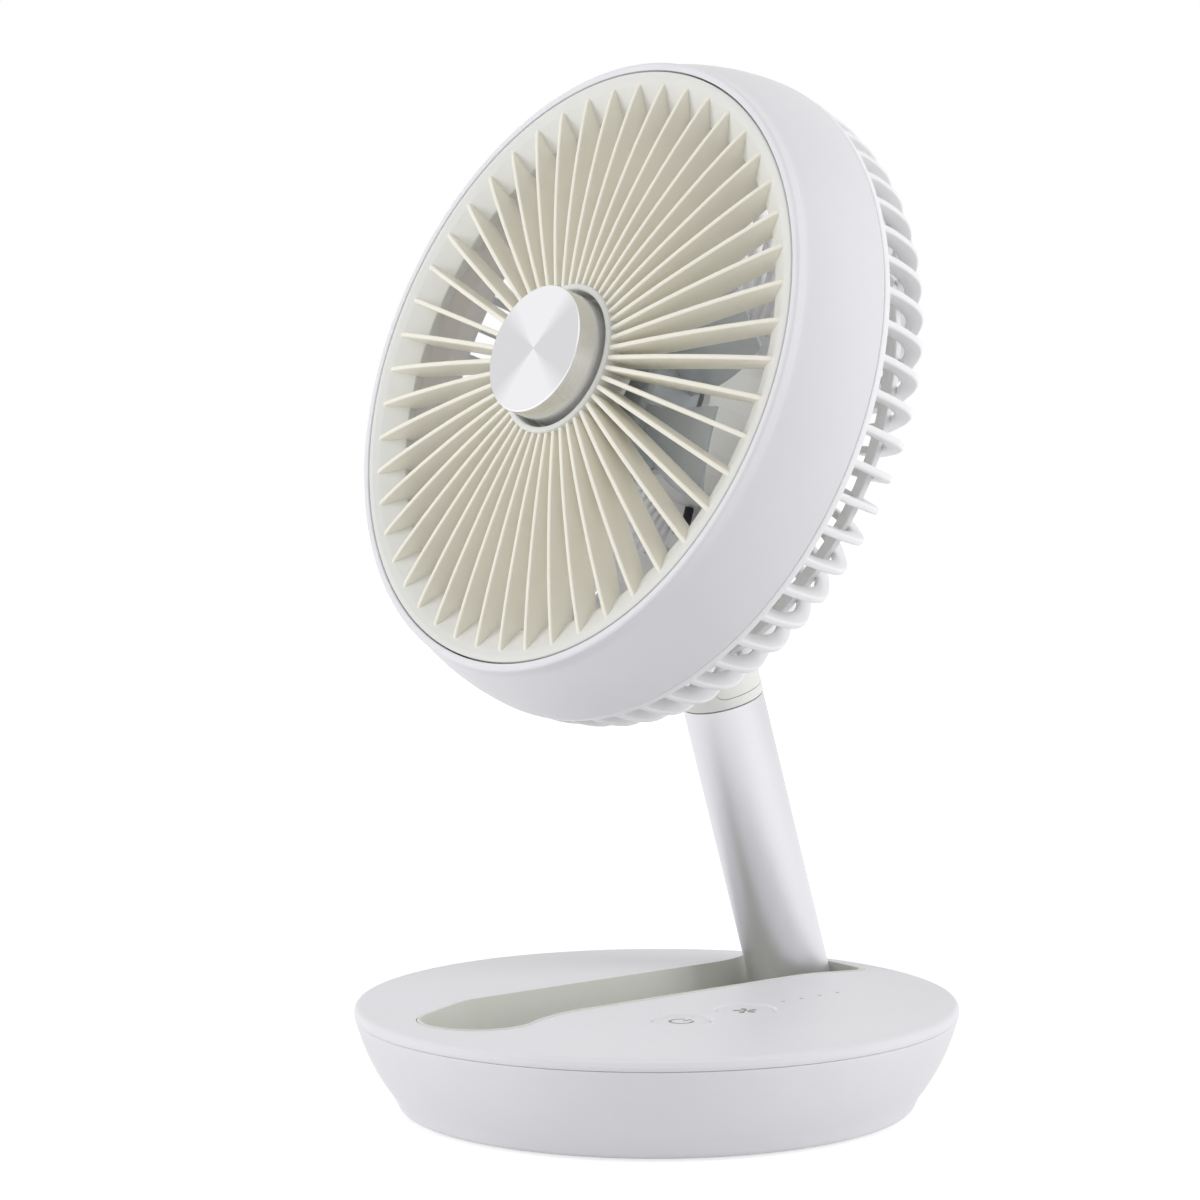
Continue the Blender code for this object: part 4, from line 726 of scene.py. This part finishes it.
def bowl_side(inset, count=14):
    """The bowl's outer side from the seam down, moved inward by inset."""
    return arched((104.6 - inset, SEAM), (90.0 - inset, 3.9), 1.8, count)


def bowl_room(inset, top):
    """The solid space inside the bowl, up to a given height."""
    side = bowl_side(inset)
    profile = [(0.0, top), (side[0][0], top)] + side + [(side[-1][0], 0.0), (0.0, 0.0)]
    return spun(profile, BASE_STEPS)


def make_bowl():
    """The bowl with its side wall, its floor and the port."""
    outer = bowl_side(0.0)[1:-1]
    inner = bowl_side(2.0)
    profile = [(0.0, 3.3), (inner[-1][0], 3.3)] + list(reversed(inner))
    profile[-1] = (inner[0][0], SEAM - HALF_GAP)
    profile += rounded([(103.4, SEAM - HALF_GAP, 0.0), (104.65, SEAM - HALF_GAP, 0.45),
                        (*outer[0], 0.0)], 4, closed=False)[1:-1]
    profile += outer
    profile += rounded([(*outer[-1], 0.0), (89.2, 0.7, 3.2), (83.6, 0.7, 0.0)], 6,
                       closed=False)[1:]
    profile += [(83.6, 1.5), (0.0, 1.5)]
    bowl = spun(profile, BASE_STEPS)
    port = plate([rounded_box(-4.8, -2.0, 4.8, 2.0, 1.9)], -20.0, 20.0)
    turn = Matrix.Rotation(math.radians(PORT_ANGLE), 4, "Z")
    moved(port, turn @ Matrix.Translation(PORT_PLACE) @ SIDEWAYS)
    return cut(bowl, port)


piece(make_bowl(), "bowl_shell", "base", white_plastic, instead_of=["base_bowl"])
pad_profile = rounded([(0.0, 1.2, 0.0), (PAD_RADIUS, 1.2, 0.0), (PAD_RADIUS, 0.0, 0.4),
                       (0.0, 0.0, 0.0)])
piece(spun(pad_profile, BASE_STEPS), "foot_pad", "base", pad_rubber,
      instead_of=["non_slip_pad"])

# %% [markdown]
# ## The lid and its channel
# The lid is a spun plate. The folded arm lies in a long channel with a round pocket for its
# cap, and the channel widens at the rear, where the arm turns. Its outline is a few straight
# lines, the pocket's arc and soft bends between them. The same outline, grown a little, cuts
# the lid and makes the liner's wall.
# %% Cut the lid
CHANNEL_LEFT = -41.3
CHANNEL_RIGHT = -2.7
POCKET = (-12.0, -69.0)
POCKET_RADIUS = 19.5
POCKET_START = 207
BEND_RADIUS = 60.0
FLARE = 8.0
FLARE_Y = 73.0
BUTTONS = {"power": (33.3, -17.2), "speed": (33.3, 11.8)}
LIGHT_X = 31.5
LIGHT_RADIUS = 0.75
LIGHTS = [31.0 + 8.5 * i for i in range(4)]


def channel_outline(grow):
    """The channel seen from above, grown outward."""
    left = CHANNEL_LEFT - grow
    right = CHANNEL_RIGHT + grow
    radius = POCKET_RADIUS + grow
    bend = BEND_RADIUS - grow
    bend_x = right + bend
    bend_y = POCKET[1] + math.sqrt((radius + bend) ** 2 - (bend_x - POCKET[0]) ** 2)
    tangent = math.degrees(math.atan2(bend_y - POCKET[1], bend_x - POCKET[0]))
    start = ring_points(POCKET, radius, POCKET_START, POCKET_START, 1)[0]
    corners = [(left, -52.0, 25.0), (*start, 0.0), (right, bend_y, 0.0),
               (right, FLARE_Y, 40.0), (right + FLARE, 94.5 + grow, 3.5),
               (-21.5, 97.0 + grow, 60.0), (left - FLARE, 88.0 + grow, 4.5),
               (left, FLARE_Y, 40.0)]
    outline = rounded(corners, 8)
    pocket = ring_points(POCKET, radius, POCKET_START, 360 + tangent, 48)
    curve = ring_points((bend_x, bend_y), bend, 180 + tangent, 180, 14)
    return outline[:9] + pocket + curve[1:] + outline[11:]


def prism_of(outline, low, high):
    """One outline raised from low to high."""
    return plate([outline], low, high)


def make_lid():
    """A spun plate with the channel, two button dishes and four light holes cut out."""
    hole = prism_of(channel_outline(1.45), 30.0, 45.0)
    low = SEAM + HALF_GAP
    profile = [(0.0, LID_TOP), (100.0, LID_TOP)]
    profile += rounded([(100.0, LID_TOP, 0.0), (104.5, LID_TOP, 2.0), (105.0, 34.0, 2.0),
                        (104.7, low, 0.3), (103.0, low, 0.0)], 8, closed=False)[1:]
    profile += [(102.4, 34.8), (0.0, 34.8)]
    lid = spun(profile, BASE_STEPS)
    lid = cut(lid, hole)
    for x, y in BUTTONS.values():
        dish = spun([(0, 50), (11.3, 50), (11.3, 36.8), (10.9, 36.6), (10.35, 35.7), (10.1, 35.2),
                     (10.1, 20), (0, 20)], 96)
        lid = cut(lid, shifted(dish, x, y, 0))
    dots = [prism_of(circle((LIGHT_X, y), LIGHT_RADIUS, 24), 20.0, 50.0) for y in LIGHTS]
    return cut(lid, *dots)


piece(make_lid(), "lid_shell", "base", white_plastic, instead_of=["base_lid"], sharp=18.0)

# %% [markdown]
# ## The channel's liner
# A separate tray in a warmer white lines the channel, and its rim stands 0.3 mm above the
# lid as a thin bright line. It is the outline grown by a wall, kept inside the bowl and
# hollowed by the channel's own space.
# %% Make the liner


def make_liner():
    """A tray: the grown outline less the channel's own space."""
    shell = plate([channel_outline(1.2)], 3.6, LID_TOP + 0.3, 0.4)
    hollow = prism_of(channel_outline(0.0), 4.9, 60.0)
    return cut(within(shell, bowl_room(2.3, 60.0)), within(hollow, bowl_room(3.6, 70.0)))


piece(make_liner(), "channel_tray", "base", liner_plastic, instead_of=["channel_liner"],
      sharp=30.0, edge=0.25)

# %% [markdown]
# ## Buttons, signs and lights
# Each button is a turned cap that sinks slightly in a shallow dish. Its sign is printed:
# a ring with a bar for power, and a small bladed wheel for speed. The signs are thin inlays
# that ride on the buttons, so they move with them.
# %% Make the controls
BUTTON_TOP = 36.15


def make_button(x, y):
    """A turned cap with a flange under the lid and a short stem."""
    profile = rounded([(0.0, BUTTON_TOP, 0.0), (9.85, BUTTON_TOP, 0.6), (9.85, 34.5, 0.0)], 5,
                      closed=False)
    profile += [(11.2, 34.5), (11.2, 33.3), (2.0, 33.3), (2.0, 31.5), (0.0, 31.5)]
    return shifted(spun(profile, 96), x, y, 0)


def inlay(outline):
    """A thin printed shape that stands a hair above the button."""
    return prism_of(outline, BUTTON_TOP - 0.1, BUTTON_TOP + 0.03)


def power_sign(x, y):
    """A ring that is open at the rear, and a bar in the opening."""
    ring = ring_points((x, y), 4.4, 122, 418, 40) + ring_points((x, y), 3.4, 418, 122, 40)
    bar = rounded_box(x - 0.5, y + 0.8, x + 0.5, y + 4.6, 0.3)
    return joined(inlay(ring), inlay(bar))


def speed_sign(x, y):
    """Five curved blades round a small boss."""
    leaf = rounded([(0.8, 0.0, 0.2), (2.2, -1.2, 0.9), (4.5, -0.9, 0.9), (4.1, 1.1, 0.9),
                    (2.2, 0.7, 0.8)])
    blades = repeated(inlay(leaf), 5, 8.0)
    return shifted(joined(blades, inlay(circle((0.0, 0.0), 0.75, 24))), x, y, 0)


for label, (x, y) in BUTTONS.items():
    piece(make_button(x, y), f"{label}_cap", f"{label}_key", button_plastic,
          instead_of=[f"{label}_button"])
piece(power_sign(*BUTTONS["power"]), "power_sign", "power_key", sign_ink)
piece(speed_sign(*BUTTONS["speed"]), "speed_sign", "speed_key", sign_ink)

# %% [markdown]
# ## The arm
# A satin aluminium tube joins the two hinges. Its upper end carries a plastic cap with a round
# top, split by a slot for the head's neck, with a thin cover on each side. The cap is cut from
# a spun bar by its front and side outlines, as a mould maker would draw it.
# %% Make the tube and the cap
TUBE_SET = 5.0
CAP_START = 125.7
SHOULDER = 129.4
CAP_RADIUS = 15.0
CROWN_LOW = 137.0
CROWN_RISE = 22.0
CORE_HALF = 10.3
PIN_HOLE = 2.1
TUBE_PLACE = ARM_PLACE @ Matrix.Translation((0.0, TUBE_SET * MM, 0.0))


def crown(x):
    """Height of the cap's top at a distance x from its middle."""
    share = min(1.0, abs(x) / CAP_RADIUS)
    return CROWN_LOW + CROWN_RISE * math.sqrt(1 - share ** 2)


def crown_line(low, high, count):
    """The cap's top as a line of points."""
    line = [low + (high - low) * i / count for i in range(count + 1)]
    return [(x, crown(x)) for x in line]


def crown_side():
    """The cap's side outline: a round top over a straight body."""
    outline = [(-30.0, 0.0), (30.0, 0.0), (30.0, 144.0)]
    outline += ring_points((0.0, 144.0), 15.05, 0, 180, 48) + [(-30.0, 144.0)]
    return moved(prism_of(outline, -30.0, 30.0), SIDEWAYS)


def front_prism(outline):
    """An outline seen from the front, raised along the depth."""
    return moved(prism_of(outline, -30.0, 30.0), FRONTWAYS)


def cover_room(grow):
    """The space of one cover: everything outside its flat, with two round lower corners."""
    reach = math.sqrt(CAP_RADIUS ** 2 - CORE_HALF ** 2)
    low = SHOULDER - grow
    outline = rounded([(-reach, low, 3.0), (reach, low, 3.0), (reach, 190.0, 0.0),
                       (-reach, 190.0, 0.0)])
    return moved(prism_of(outline, CORE_HALF - grow, 30.0), SIDEWAYS)


def pin_hole(y, z, radius, count, half):
    """A round bar across the arm that cuts the hole for a hinge pin."""
    return moved(prism_of(circle((y, z), radius, count), -half, half), SIDEWAYS)


def make_core():
    """The cap's middle with the neck's slot, the covers' pockets and the pin's hole."""
    core = spun([(0.0, 170.0), (15.0, 170.0), (15.0, CAP_START + 0.3), (14.7, CAP_START),
                 (13.3, CAP_START), (13.3, 112.0), (0.0, 112.0)], 128)
    outline = [(-30.0, 0.0), (30.0, 0.0), (30.0, crown(30.0))] + crown_line(15.0, -15.0, 48)
    core = within(core, front_prism(outline + [(-30.0, crown(30.0))]), crown_side())
    rooms = [moved(cover_room(0.25), Matrix.Scale(side, 4, (1, 0, 0))) for side in (-1, 1)]
    slot = [(-30.0, SHOULDER), (-3.05, SHOULDER), (2.95, 142.0), (30.0, 142.0), (30.0, 180.0),
            (-30.0, 180.0)]
    slot = moved(prism_of(slot, -4.8, 4.8), SIDEWAYS)
    return cut(core, *rooms, slot, pin_hole(-8.05, 151.64, PIN_HOLE, 24, 9.5))


def make_cover(side):
    """The thin cover on one side of the cap."""
    cover = spun([(0.0, 170.0), (15.0, 170.0), (15.0, 120.0), (0.0, 120.0)], 128)
    outline = [(0.0, 100.0), (30.0, 100.0), (30.0, crown(30.0))] + crown_line(CAP_RADIUS, 0.0, 32)
    cover = within(cover, front_prism(outline), crown_side(), cover_room(0.0))
    return moved(cover, Matrix.Scale(side, 4, (1, 0, 0)))


tube_profile = rounded([(13.6, 125.4, 0.0), (14.8, 125.4, 0.25), (14.8, 15.8, 0.25),
                        (13.6, 15.8, 0.0)])
piece(spun(tube_profile, 160, closed=True), "tube", "arm", tube_aluminium, TUBE_PLACE,
      ["arm_tube"])
piece(make_core(), "cap_core", "arm", cap_plastic, TUBE_PLACE, ["arm_cap"], 30.0, 0.2)
for side, word in ((-1, "left"), (1, "right")):
    piece(make_cover(side), f"cover_{word}", "arm", cap_plastic, TUBE_PLACE,
          [f"cap_cover_{word}"], 30.0, 0.2)

# %% [markdown]
# ## The foot of the arm
# A plug closes the tube's lower end, and its tongue sits between the ears of the hinge
# bracket. Little of it shows, so it keeps its plain turned and cut shape with softer edges.
# %% Make the foot


def make_foot():
    """The plug with its tongue and the lower pin's hole."""
    plug = spun([(0.0, 33.5), (12.7, 33.5), (13.3, 32.9), (13.3, 15.5), (14.0, 15.5),
                 (14.0, 13.8), (13.7, 13.5), (0.0, 13.5)], 96)
    shifted(plug, 0, TUBE_SET, 0)
    outline = [(17.0, 14.5), (-7.0, 14.5)] + ring_points((0.0, 0.0), 6.0, 190, 330, 28)
    foot = combined(plug, moved(prism_of(outline, -7.2, 7.2), SIDEWAYS), "UNION")
    return cut(foot, pin_hole(0.0, 0.0, 2.8, 32, 30))


piece(make_foot(), "foot_plug", "arm", cap_plastic, ARM_PLACE, ["arm_foot"], 30.0, 0.2)

# %% [markdown]
# ## The neck
# A short blade in the cap's slot carries the head. It ends in a flat foot that is let into
# the back of the guard. The blade is a side outline, and the foot a plate with round corners.
# %% Make the neck


def make_neck():
    """The neck's blade and foot with the upper pin's hole."""
    outline = ring_points((0.0, 0.0), 6.5, 190, 350, 32)
    outline += [(8.0, 21.45), (11.0, 26.8), (-11.0, 26.8), (-8.0, 21.45)]
    blade = moved(prism_of(outline, -3.9, 3.9), SIDEWAYS)
    foot = plate([rounded_box(-13.5, -20.0, 13.5, 20.0, 4.0)], 25.45, 28.15, 0.3)
    neck = combined(blade, foot, "UNION")
    return cut(neck, pin_hole(0.0, 0.0, PIN_HOLE, 24, 30))


piece(make_neck(), "neck_blade", "head", cap_plastic, HINGE_PLACE, ["neck"], 30.0, 0.3)

# %% [markdown]
# ## The barrel
# The barrel is the wide white band round the head. It flares from a rolled lip at the mouth to
# the seam at the guard, and carries a short duct inside. The duct's faces get a lighter, warmer
# white: painted light for the light that comes through the thin wall. One closed profile
# is spun.
# %% Turn the barrel
HEAD_STEPS = 256
DUCT_LIMIT = 98.0


def make_barrel():
    """The lip, the flared side, the seam and the duct as one turned body."""
    lip = rounded([(105.0, -7.7, 0.0), (105.0, 0.5, 0.5), (107.7, 0.5, 1.2),
                   (108.2, -3.0, 0.0)], 8, closed=False)
    outer = arched((108.3, -3.4), (115.7, -30.6), 1.35, 16)
    rear = rounded([(115.7, -30.6, 0.0), (115.8, -31.2, 0.4), (113.5, -31.2, 0.0)], 4,
                   closed=False)[1:]
    inner = [(112.4, -22.0), (105.9, -9.7)]
    duct = [(95.7, -9.7), (95.7, -27.0), (93.9, -27.0), (93.9, -20.5), (93.2, -19.5),
            (93.2, -17.5), (93.9, -16.5), (93.9, -7.7)]
    return spun(lip + outer + rear + inner + duct, HEAD_STEPS, closed=True)


barrel = make_barrel()
# Faces inside DUCT_LIMIT take the duct's painted light, a lighter white than the outer shell.
for face in barrel.faces:
    if math.hypot(*face.calc_center_median().xy) < DUCT_LIMIT * MM:
        face.material_index = 1
barrel = piece(barrel, "barrel_shell", "head", white_plastic, HEAD_PLACE, ["barrel"])
barrel.data.materials.append(duct_painted_light)

# %% [markdown]
# ## The front grille
# The grille is one moulding: a conical ring, forty-eight radial fins and a small collar round
# the hub cap. A fin is a flat outline with a thickness and rounded edges; it is deepest at the
# collar and runs out to a point on the cone. One fin is copied round the axis. The fins have
# the first material, a cream that paints the light bounced between the close fins, and the
# ring and collar the second, whiter one.
# %% Mould the grille
FIN_COUNT = 48
FIN_PHASE = 91.65


def make_grille():
    """The fins, then the ring and the collar in the second material."""
    ring = rounded([(104.5, -1.8, 0.0), (104.5, 0.45, 0.5), (102.6, 0.35, 1.0), (100.0, -0.7, 1.5),
                    (91.6, -5.7, 0.8), (91.6, -9.0, 0.3), (93.1, -9.0, 0.0), (93.1, -7.2, 0.0),
                    (103.0, -7.0, 0.3)], 5)
    collar = rounded([(0.0, -4.25, 0.0), (24.2, -4.25, 0.0), (24.2, 6.4, 0.9), (26.45, 6.4, 0.9),
                      (26.45, -6.5, 0.4), (0.0, -6.5, 0.0)], 5, closed=False)
    crest = smooth_line([(101.4, -1.0), (99.2, 0.1), (90.0, 1.5), (78.0, 2.9), (64.0, 4.1),
                         (50.0, 5.0), (36.0, 5.4), (25.6, 5.5)], 2)
    outline = crest + [(25.6, -5.5), (92.3, -8.5), (92.3, -6.6)]
    fins = repeated(blade_from(outline, 1.7, 0.55, 3), FIN_COUNT, FIN_PHASE)
    rings = joined(spun(ring, HEAD_STEPS, closed=True), spun(collar, 128))
    for face in rings.faces:
        face.material_index = 1
    return joined(fins, rings)


grille = piece(make_grille(), "grille", "head", fin_painted_bounce, HEAD_PLACE,
               ["front_grille"], 40.0)
grille.data.materials.append(ring_plastic)

# %% [markdown]
# ## The hub cap
# A turned aluminium cap hides the centre. Its face shows lathe rings and its side a brushed
# finish, so the cap has two materials, given by the direction of each face.
# %% Turn the hub cap


def make_hub_cap():
    """A turned cap: face, soft edge, side and a hollow inside."""
    profile = rounded([(0.0, 16.3, 0.0), (22.4, 16.3, 0.7), (22.4, -3.9, 0.0)], 6, closed=False)
    profile += [(20.4, -3.9), (20.4, 14.3), (0.0, 14.3)]
    return spun(profile, 192)


SIDE_LIMIT = 0.7
hub_cap = piece(make_hub_cap(), "hub_cap_shell", "head", cap_face_aluminium,
                HEAD_PLACE, ["hub_cap"], 60.0)
hub_cap.data.materials.append(cap_side_aluminium)
for face in hub_cap.data.polygons:
    if abs(face.normal.dot(FAN_AXIS)) < SIDE_LIMIT:
        face.material_index = 1

# %% [markdown]
# ## The rear guard
# The guard is a basket of sixty-one rounded ribs between a seam ring and a centre plate, with
# one ring across them. A rib is a hook-shaped outline: both of its long sides are smooth lines
# through a few measured points. Its edges are rounded and it is copied round the axis.
# %% Mould the guard
RIB_COUNT = 61
SEAT_BOX = (-37.3, -91.64, -5.7, -47.04)


def seat_outline(inset, radius):
    """The outline of the neck's seat, moved inward by inset."""
    left, low, right, high = SEAT_BOX
    return rounded_box(left + inset, low + inset, right - inset, high - inset, radius, 8)


def make_guard():
    """The ribs, the seam ring, the cross ring, the centre plate and the neck's seat."""
    outer = smooth_line([(115.2, -32.6), (115.1, -40.0), (113.2, -50.0), (109.0, -57.0),
                         (102.0, -62.6), (95.0, -66.8), (86.0, -71.6), (78.0, -74.6),
                         (66.0, -75.0), (34.5, -75.0)], 3)
    inner = smooth_line([(34.5, -70.0), (66.0, -70.2), (76.0, -69.6), (85.0, -66.6), (93.5, -61.8),
                         (100.0, -57.6), (105.4, -52.0), (108.6, -45.0), (109.6, -38.0),
                         (109.8, -32.6)], 3)
    ribs = repeated(blade_from(outer + inner, 2.7, 0.8, 3), RIB_COUNT, 90.0)
    seam = spun(rounded([(108.6, -31.5, 0.3), (115.7, -31.5, 0.5), (115.5, -34.3, 0.6),
                         (108.6, -34.3, 0.4)], 5), HEAD_STEPS, closed=True)
    band = spun(rounded([(95.5, -58.2, 0.4), (95.5, -60.8, 0.6), (84.0, -67.3, 0.6),
                         (84.0, -64.7, 0.4)], 5), HEAD_STEPS, closed=True)
    plate_profile = rounded([(0.0, -70.0, 0.0), (36.0, -70.0, 0.3), (36.0, -75.0, 0.8),
                             (0.0, -75.0, 0.0)], 5, closed=False)
    disc = spun(plate_profile, 128)
    seat = plate([seat_outline(0.0, 4.5)], -75.0, -69.0, 0.3)
    seat = cut(seat, prism_of(seat_outline(2.0, 4.2), -80.0, -72.0))
    ribs = cut(ribs, prism_of(seat_outline(0.0, 4.5), -90.0, -40.0))
    return joined(ribs, seam, band, disc, seat)


piece(make_guard(), "guard", "head", guard_plastic, HEAD_PLACE, ["rear_guard"], 40.0)

# %% [markdown]
# ## The rotor
# Seven smoky blades turn behind the grille. Each starts as a flat grid that is bent onto a
# twisted, cambered sheet, and is then given a thickness. The hub is turned.
# %% Shape the rotor
BLADE_COUNT = 7
BLADE_ROOT = 28.8
BLADE_TIP = 62.2
BLADE_SWEEP = math.radians(14.0)
BLADE_PHASE = math.radians(15.0)
BLADE_THICKNESS = 1.6


def make_blade():
    """One blade, bent from a grid: less pitch and more chord toward the tip."""
    work = bmesh.new()
    bmesh.ops.create_grid(work, x_segments=16, y_segments=16, size=0.5)
    for vert in work.verts:
        share = vert.co.y + 0.5
        radius = BLADE_ROOT + (BLADE_TIP - BLADE_ROOT) * share
        pitch = math.radians(42.0 - 18.0 * share)
        chord = 24.0 + 10.0 * math.sin(share * math.pi / 2)
        run = vert.co.x * chord
        camber = 0.08 * chord * (1 - 4 * vert.co.x ** 2)
        flat = run * math.cos(pitch) - camber * math.sin(pitch)
        rise = run * math.sin(pitch) + camber * math.cos(pitch)
        angle = flat / radius + BLADE_SWEEP * share + BLADE_PHASE
        vert.co = Vector((radius * math.cos(angle), radius * math.sin(angle), rise - 23.0)) * MM
    bmesh.ops.recalc_face_normals(work, faces=work.faces[:])
    bmesh.ops.solidify(work, geom=work.faces[:], thickness=BLADE_THICKNESS * MM)
    bmesh.ops.translate(work, vec=(0, 0, BLADE_THICKNESS / 2 * MM), verts=work.verts[:])
    return work


def make_rotor():
    """A hollow hub with a boss for the shaft, and the blades."""
    hub = rounded([(0.0, -12.0, 0.0), (30.0, -12.0, 3.0), (30.0, -34.0, 0.3),
                   (28.0, -34.0, 0.3), (28.0, -14.0, 0.0)], 6, closed=False)
    hub += [(6.0, -14.0), (6.0, -30.0), (2.8, -30.0), (2.8, -14.0), (0.0, -14.0)]
    return joined(spun(hub, 128), repeated(make_blade(), BLADE_COUNT))


piece(make_rotor(), "rotor_wheel", "fan_rotor", blade_plastic, HEAD_PLACE, ["rotor"], 50.0)

# %% [markdown]
# ## The motor's lead
# A black lead comes out of the motor, passes a small clip and goes down through the neck's
# seat. It is fixed along its whole way, so it is a short round tube along a smooth line.
# %% Run the lead


def make_tube_along(route, radius, steps):
    """A round tube along a smooth line through the route, in millimetres."""
    curve = bpy.data.curves.new("line", "CURVE")
    curve.dimensions = "3D"
    curve.bevel_depth = radius * MM
    curve.bevel_resolution = 5
    curve.use_fill_caps = True
    points = smooth_line(route, steps)
    spline = curve.splines.new("POLY")
    spline.points.add(len(points) - 1)
    for point, place in zip(spline.points, points):
        point.co = (*(x * MM for x in place), 1.0)
    return cleaned(from_object(new_object("line", curve)))


LEAD_HEIGHT = -67.1
LEVEL_ROUTE = [(0.0, -30.1), (0.2, -34.0), (0.5, -40.0), (0.5, -46.0), (-3.5, -54.0),
               (-12.0, -60.0)]
lead_route = [(x, y, LEAD_HEIGHT) for x, y in LEVEL_ROUTE]
lead_route += [(-18.8, -61.5, LEAD_HEIGHT - 0.5), (-20.0, -61.5, LEAD_HEIGHT - 2.4),
               (-20.0, -61.5, -71.7)]
piece(make_tube_along(lead_route, 1.6, 6), "lead", "head", black_plastic, HEAD_PLACE,
      ["motor_lead"])

# %% [markdown]
# ## Pieces that keep their CAD shape
# The hidden works keep the shapes of the frame: the motor, the pins, the battery and the
# boards. Each only gets its finish, by assigning a material to its slots.
# %% Finish the carried-over nodes
SHARP_ANGLE = math.radians(35.0)
CARRIED = {
    "light_guide": lens_plastic, "control_board": board_resin, "battery_holder": black_plastic,
    "battery_cell_1": cell_sleeve, "battery_cell_2": cell_sleeve, "ballast_plate": steel,
    "charge_socket": steel, "charge_board": board_resin, "hinge_bracket": steel,
    "lower_hinge_pin": steel, "friction_washer_left": black_plastic,
    "friction_washer_right": black_plastic, "upper_hinge_pin": steel, "motor_case": cap_plastic,
    "lead_clip": guard_plastic, "motor_shaft": steel,
}
for node, material in CARRIED.items():
    carried = frame["nodes"][node]
    carried.data.materials.clear()
    carried.data.materials.append(material)
    carried.data.set_sharp_from_angle(angle=SHARP_ANGLE)
print("carried over", len(CARRIED), "nodes")
